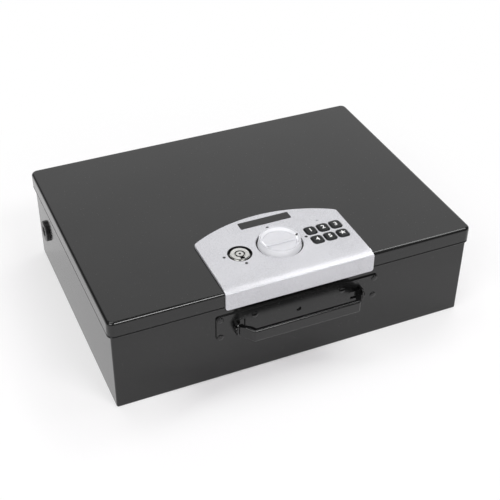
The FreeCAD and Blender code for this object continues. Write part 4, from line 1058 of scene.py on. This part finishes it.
@dataclass
class Keypad:
    """Six keys with printed legends, the mat and board under them, and the status light."""

    shop: Shop
    digits: str = "12345"
    letter_height: float = 0.0070
    letter_swell: float = 0.00016
    letter_steps: int = 3
    star_points: int = 5
    star_outer: float = 0.0035
    star_inner: float = 0.0013
    print_lift: float = 0.00002
    print_depth: float = 0.00006

    def build(self) -> list[bpy.types.Object]:
        """Dress the keypad.

        Returns:
            The pieces.
        """
        pieces = [self.key(f"key_{digit}", self.letter_outline(digit)) for digit in self.digits]
        pieces.append(self.key("key_star", self.star_outline()))
        pieces.append(self.shop.skin("keypad_mat", RUBBER))
        pieces.append(self.shop.skin("keypad_board", BOARD))
        pieces.append(self.shop.skin("status_light", LENS, Crease.ROUND))
        return pieces

    def letter_outline(self, letter: str) -> bpy.types.Mesh:
        """A flat mesh of one character about the origin.

        Args:
            letter: The character.

        Returns:
            The mesh; the caller removes it.
        """
        text = bpy.data.curves.new("legend_" + letter, "FONT")
        text.body = letter
        text.size = self.letter_height
        text.offset = self.letter_swell
        text.resolution_u = self.letter_steps
        carrier = add_object("legend_" + letter, text)
        mesh = evaluated_mesh(carrier)
        bpy.data.objects.remove(carrier)
        bpy.data.curves.remove(text)
        places = [vertex.co for vertex in mesh.vertices]
        middle = [(min(p[i] for p in places) + max(p[i] for p in places)) / 2 for i in (0, 1)]
        mesh.transform(Matrix.Translation((-middle[0], -middle[1], 0.0)))
        return mesh

    def star_outline(self) -> bpy.types.Mesh:
        """A flat star about the origin, with one point to the back.

        Returns:
            The mesh; the caller removes it.
        """
        mesh = bpy.data.meshes.new("legend_star")
        corners = 2 * self.star_points
        places = []
        for step in range(corners):
            reach = self.star_inner if step % 2 else self.star_outer
            angle = math.pi / 2 + step * math.pi / self.star_points
            places.append((reach * math.cos(angle), reach * math.sin(angle), 0.0))
        fans = [(corners, step, (step + 1) % corners) for step in range(corners)]
        mesh.from_pydata(places + [(0.0, 0.0, 0.0)], [], fans)
        return mesh

    def key(self, node: str, outline: bpy.types.Mesh) -> bpy.types.Object:
        """Dress one key and print its legend on the flat of its top.

        Args:
            node: The key's node.
            outline: The legend's flat mesh, which is used up.

        Returns:
            The key.
        """
        middle = middle_of(node)
        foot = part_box(node)[1].z + self.print_lift - self.print_depth
        self.thicken(outline)
        outline.transform(Matrix.Translation((middle.x, middle.y, foot)))
        shape = merged(node)
        before = len(shape.faces)
        shape.from_mesh(outline)
        bpy.data.meshes.remove(outline)
        shape.faces.ensure_lookup_table()
        for face in shape.faces[before:]:
            face.material_index = 1
        return self.shop.wear(node, shape, KEY_PLASTIC, Crease.USUAL, (LEGEND,))

    def thicken(self, outline: bpy.types.Mesh) -> None:
        """Turn a flat outline into a closed layer of ink that stands on it.

        Args:
            outline: The legend's flat mesh, which is changed.
        """
        layer = bmesh.new()
        layer.from_mesh(outline)
        bmesh.ops.remove_doubles(layer, verts=layer.verts, dist=WELD)
        bmesh.ops.dissolve_degenerate(layer, dist=WELD, edges=layer.edges)
        rise = Vector((0.0, 0.0, self.print_depth))
        border = [edge.verts[:] for edge in layer.edges if edge.is_boundary]
        raised = {vertex: layer.verts.new(vertex.co + rise) for vertex in layer.verts[:]}
        for face in layer.faces[:]:
            layer.faces.new([raised[vertex] for vertex in face.verts])
        for first, second in border:
            layer.faces.new((first, second, raised[second], raised[first]))
        bmesh.ops.recalc_face_normals(layer, faces=layer.faces)
        layer.to_mesh(outline)
        layer.free()


@dataclass
class TurnKnob:
    """The dished knob, the drive under it and the bolt."""

    shop: Shop
    index_reach: float = 0.0170
    index_radius: float = 0.0014
    index_above: float = 0.002
    rim_drop: float = 0.0002
    broken: float = 0.0005

    def build(self) -> list[bpy.types.Object]:
        """Dress the knob and its drive.

        Returns:
            The pieces.
        """
        low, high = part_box("turn_knob")
        middle = middle_of("turn_knob")
        dots = ((middle.x + self.index_reach, middle.y),)
        # The knob's walls under the rim get painted light.
        paint = KnobPlastic("silver_plastic", (0.62, 0.62, 0.65), (0.58, 0.58, 0.61), 0.50,
                            dots, self.index_radius, print_above=low.z + self.index_above, metallic=0.05,
                            axis=(middle.x, middle.y), wall_below=high.z - self.rim_drop)
        pieces = [self.shop.skin("turn_knob", paint, Crease.FINE, self.broken)]
        for node in ("knob_spindle", "spindle_nut", "drive_crank", "latch_bolt"):
            pieces.append(self.shop.skin(node, STEEL))
        pieces.append(self.shop.skin("spindle_bush", BRASS))
        return pieces


@dataclass
class Solenoid:
    """The blocking solenoid: bent frame, taped coil and plunger."""

    shop: Shop

    def build(self) -> list[bpy.types.Object]:
        """Dress the solenoid.

        Returns:
            The pieces.
        """
        worn = {"solenoid_frame": STEEL, "solenoid_coil": TAPE, "solenoid_plunger": STEEL}
        return [self.shop.skin(node, finish) for node, finish in worn.items()]


@dataclass
class KeyLock:
    """The tubular key lock."""

    shop: Shop
    bore: float = 0.0078

    def build(self) -> list[bpy.types.Object]:
        """Dress the lock.

        Returns:
            The pieces.
        """
        axis = tuple(middle_of("lock_plug").to_2d())
        # The nickel carries painted shade down the lock's bore, round its rim and in its middle.
        nickel = Metal("nickel", (0.76, 0.76, 0.74), (0.58, 0.58, 0.56), 0.22,
                       Grain.TURNED, axis, self.bore, face=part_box("lock_plug")[1].z)
        worn = {"lock_barrel": nickel, "lock_plug": nickel, "lock_nut": nickel,
                "lock_cam": STEEL, "cam_screw": STEEL}
        return [self.shop.skin(node, finish) for node, finish in worn.items()]


@dataclass
class LockCase:
    """The moulded case under the lid with its fixings, battery bay and cells."""

    shop: Shop
    head_height: float = 0.0016
    head_crown: float = 5.0
    recess_depth: float = 0.0009
    recess_half: float = 0.00032
    cells: int = 4

    def build(self) -> list[bpy.types.Object]:
        """Dress the case.

        Returns:
            The pieces.
        """
        worn = {"lock_case": BLACK_PLASTIC, "battery_door": BLACK_PLASTIC,
                "case_studs": STEEL, "battery_contacts": STEEL}
        for number in range(1, self.cells + 1):
            node = f"battery_{number}"
            low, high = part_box(node)
            worn[node] = CellSleeve("cell_wrap", (0.70, 0.42, 0.16), (0.030, 0.030, 0.034), 0.28,
                                    low.x, high.x, turned=number % 2 == 0)
        pieces = [self.shop.skin(node, finish) for node, finish in worn.items()]
        return pieces + [self.screws()]

    def screws(self) -> bpy.types.Object:
        """Grow a cross-recessed head on every case screw.

        Returns:
            The heads.
        """
        boxes = solid_boxes("case_screws")
        radius = (boxes[0][1].x - boxes[0][0].x) / 2
        sizes = {"Head radius": radius, "Head height": self.head_height, "Crown power": self.head_crown,
                 "Recess depth": self.recess_depth, "Recess half width": self.recess_half}
        field_tree = HeadField("screw_heads", self.shop.material(STEEL))
        heads = field_tree.grow("case_screws_look", boxes, Vector((0, 0, -1)), sizes)
        return settle(heads, "case_screws")


@dataclass(frozen=True)
class SoftBox:
    """One soft lamp: where it stands, what it faces, its width and height, and its power in watts."""

    name: str
    place: Point
    target: Point
    size: tuple[float, float]
    power: float

    def light(self) -> None:
        """Put the lamp into the scene."""
        lamp = bpy.data.lights.new(self.name, "AREA")
        lamp.shape = "RECTANGLE"
        lamp.size, lamp.size_y = self.size
        lamp.energy = self.power
        made = add_object(self.name, lamp)
        made.location = self.place
        made.rotation_euler = (Vector(self.target) - made.location).to_track_quat("-Z", "Y").to_euler()


SOFT_BOXES = (
    SoftBox("main_box", (0.39, -1.28, 1.60), (0.0, 0.0, 0.1), (0.7, 0.5), 15.0),
    SoftBox("facet_strip", (0.74, 0.59, 1.80), (0.0, -0.12, 0.1), (0.72, 0.25), 2.9),
    SoftBox("right_box", (1.10, 0.10, 1.80), (0.1, -0.1, 0.1), (1.5, 0.3), 7.6),
    SoftBox("back_box", (-0.32, 0.55, 2.0), (0.0, 0.0, 0.1), (0.9, 0.8), 7.5),
    SoftBox("left_box", (-1.5, -0.9, 1.5), (0.0, 0.0, 0.05), (1.4, 1.2), 21.0),
)


@dataclass
class Studio:
    """White floor, soft light and the camera of the photograph."""

    eye: Vector = field(default_factory=lambda: Vector((-0.3382, -0.7728, 0.6714)))
    azimuth: float = -24.13
    elevation: float = 36.98
    roll: float = 0.653
    lens: float = 74.55
    sensor: float = 36.0
    nearest: float = 0.01
    floor_size: float = 12.0
    floor_drop: float = 0.0002
    paper_tone: Colour = (0.97, 0.955, 0.97)
    glow_share: float = 0.55
    glow_reach: Span = (0.22, 0.42)
    shade_middle: float = -0.04
    shade_half: Span = (0.03, 0.12)
    shade_depth: Span = (0.13, 0.17)
    ambient: float = 0.14
    sweep_heading: tuple[float, float] = (0.41, 0.91)
    sweep_edge: Span = (0.56, 0.66)
    sweep_top: Span = (0.76, 0.67)

    def build(self) -> None:
        """Set up the floor, the light and the camera."""
        self.floor()
        self.world()
        for box in SOFT_BOXES:
            box.light()
        self.camera()
        view = bpy.context.scene.view_settings
        view.view_transform = "Standard"
        view.look = "None"

    def floor(self) -> None:
        """A white floor that keeps a faint shadow near the box where the camera or a gloss sees it."""
        mesh = bpy.data.meshes.new("floor")
        half = self.floor_size / 2
        outline = ((-half, -half), (half, -half), (half, half), (-half, half))
        mesh.from_pydata([(*corner, -self.floor_drop) for corner in outline], [], [(0, 1, 2, 3)])
        floor = add_object("floor", mesh)
        surface = Surface("floor_white")
        rays = surface.node("ShaderNodeLightPath")
        by_eye, by_gloss = (Socket(surface, rays.outputs[f"Is {kind} Ray"]) for kind in ("Camera", "Glossy"))
        paper = surface.value("ShaderNodeBsdfDiffuse", inputs={"Color": (*self.paper_tone, 1.0)})
        glow = surface.value("ShaderNodeEmission", inputs={"Color": WHITE, "Strength": 1.0})
        beside = abs(surface.x - self.shade_middle).ramp(*self.shade_half)
        before = abs(surface.y).ramp(*self.shade_depth)
        away = surface.from_axis(0.0, 0.0).ramp(*self.glow_reach)
        share = beside.most(before) * self.glow_share + away * (1.0 - self.glow_share)
        blend = {0: by_eye.most(by_gloss) * share, 1: paper, 2: glow}
        mixed = surface.value("ShaderNodeMixShader", inputs=blend)
        surface.node("ShaderNodeOutputMaterial", inputs={"Surface": mixed})
        mesh.materials.append(surface.material)

    def world(self) -> None:
        """White where the camera sees it; a white sweep behind the box and a dimmer room elsewhere."""
        world = bpy.data.worlds.new("studio")
        bpy.context.scene.world = world
        world.use_nodes = True
        graph = Graph(world.node_tree)
        graph.tree.nodes.clear()
        seen = graph.value("ShaderNodeLightPath", output="Is Camera Ray")
        heading = graph.value("ShaderNodeTexCoord", output="Generated")
        way = graph.node("ShaderNodeSeparateXYZ", inputs={0: heading})
        side, back, rise = (Socket(graph, way.outputs[axis]) for axis in "XYZ")
        across, along = self.sweep_heading
        sweep = (side * across + back * along).ramp(*self.sweep_edge) * rise.ramp(*self.sweep_top)
        strength = self.ambient + seen.most(sweep) * (1.0 - self.ambient)
        sky = graph.value("ShaderNodeBackground", inputs={"Color": WHITE, "Strength": strength})
        graph.node("ShaderNodeOutputWorld", inputs={"Surface": sky})

    def camera(self) -> None:
        """Place the camera where the photograph was taken."""
        camera = bpy.data.cameras.new("camera")
        camera.lens = self.lens
        camera.sensor_width = self.sensor
        camera.clip_start = self.nearest
        made = add_object("camera", camera)
        turn, rise, lean = (math.radians(angle) for angle in (self.azimuth, self.elevation, self.roll))
        level = Vector((math.cos(turn), math.sin(turn), 0.0))
        ahead = Vector((-math.sin(turn), math.cos(turn), 0.0))
        forward = ahead * math.cos(rise) - Vector((0.0, 0.0, math.sin(rise)))
        right = math.cos(lean) * level + math.sin(lean) * level.cross(forward)
        up = right.cross(forward)
        made.matrix_world = Matrix((right, up, -forward)).transposed().to_4x4()
        made.location = self.eye
        bpy.context.scene.camera = made


def main() -> None:
    """Dress every sub-assembly in order, report its pieces, then set up the studio."""
    logging.basicConfig(level=logging.INFO, format="%(name)s: %(message)s")
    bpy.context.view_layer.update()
    shop = Shop()
    outside = (Tray, CarryHandle, Hinges, CableAnchor, Lid, ControlPanel, Keypad)
    inside = (TurnKnob, Solenoid, KeyLock, LockCase)
    for kind in outside + inside:
        for piece in kind(shop).build():
            LOG.info("%s: %s", kind.__name__, piece.name)
    Studio().build()


if __name__ == "__main__":
    main()
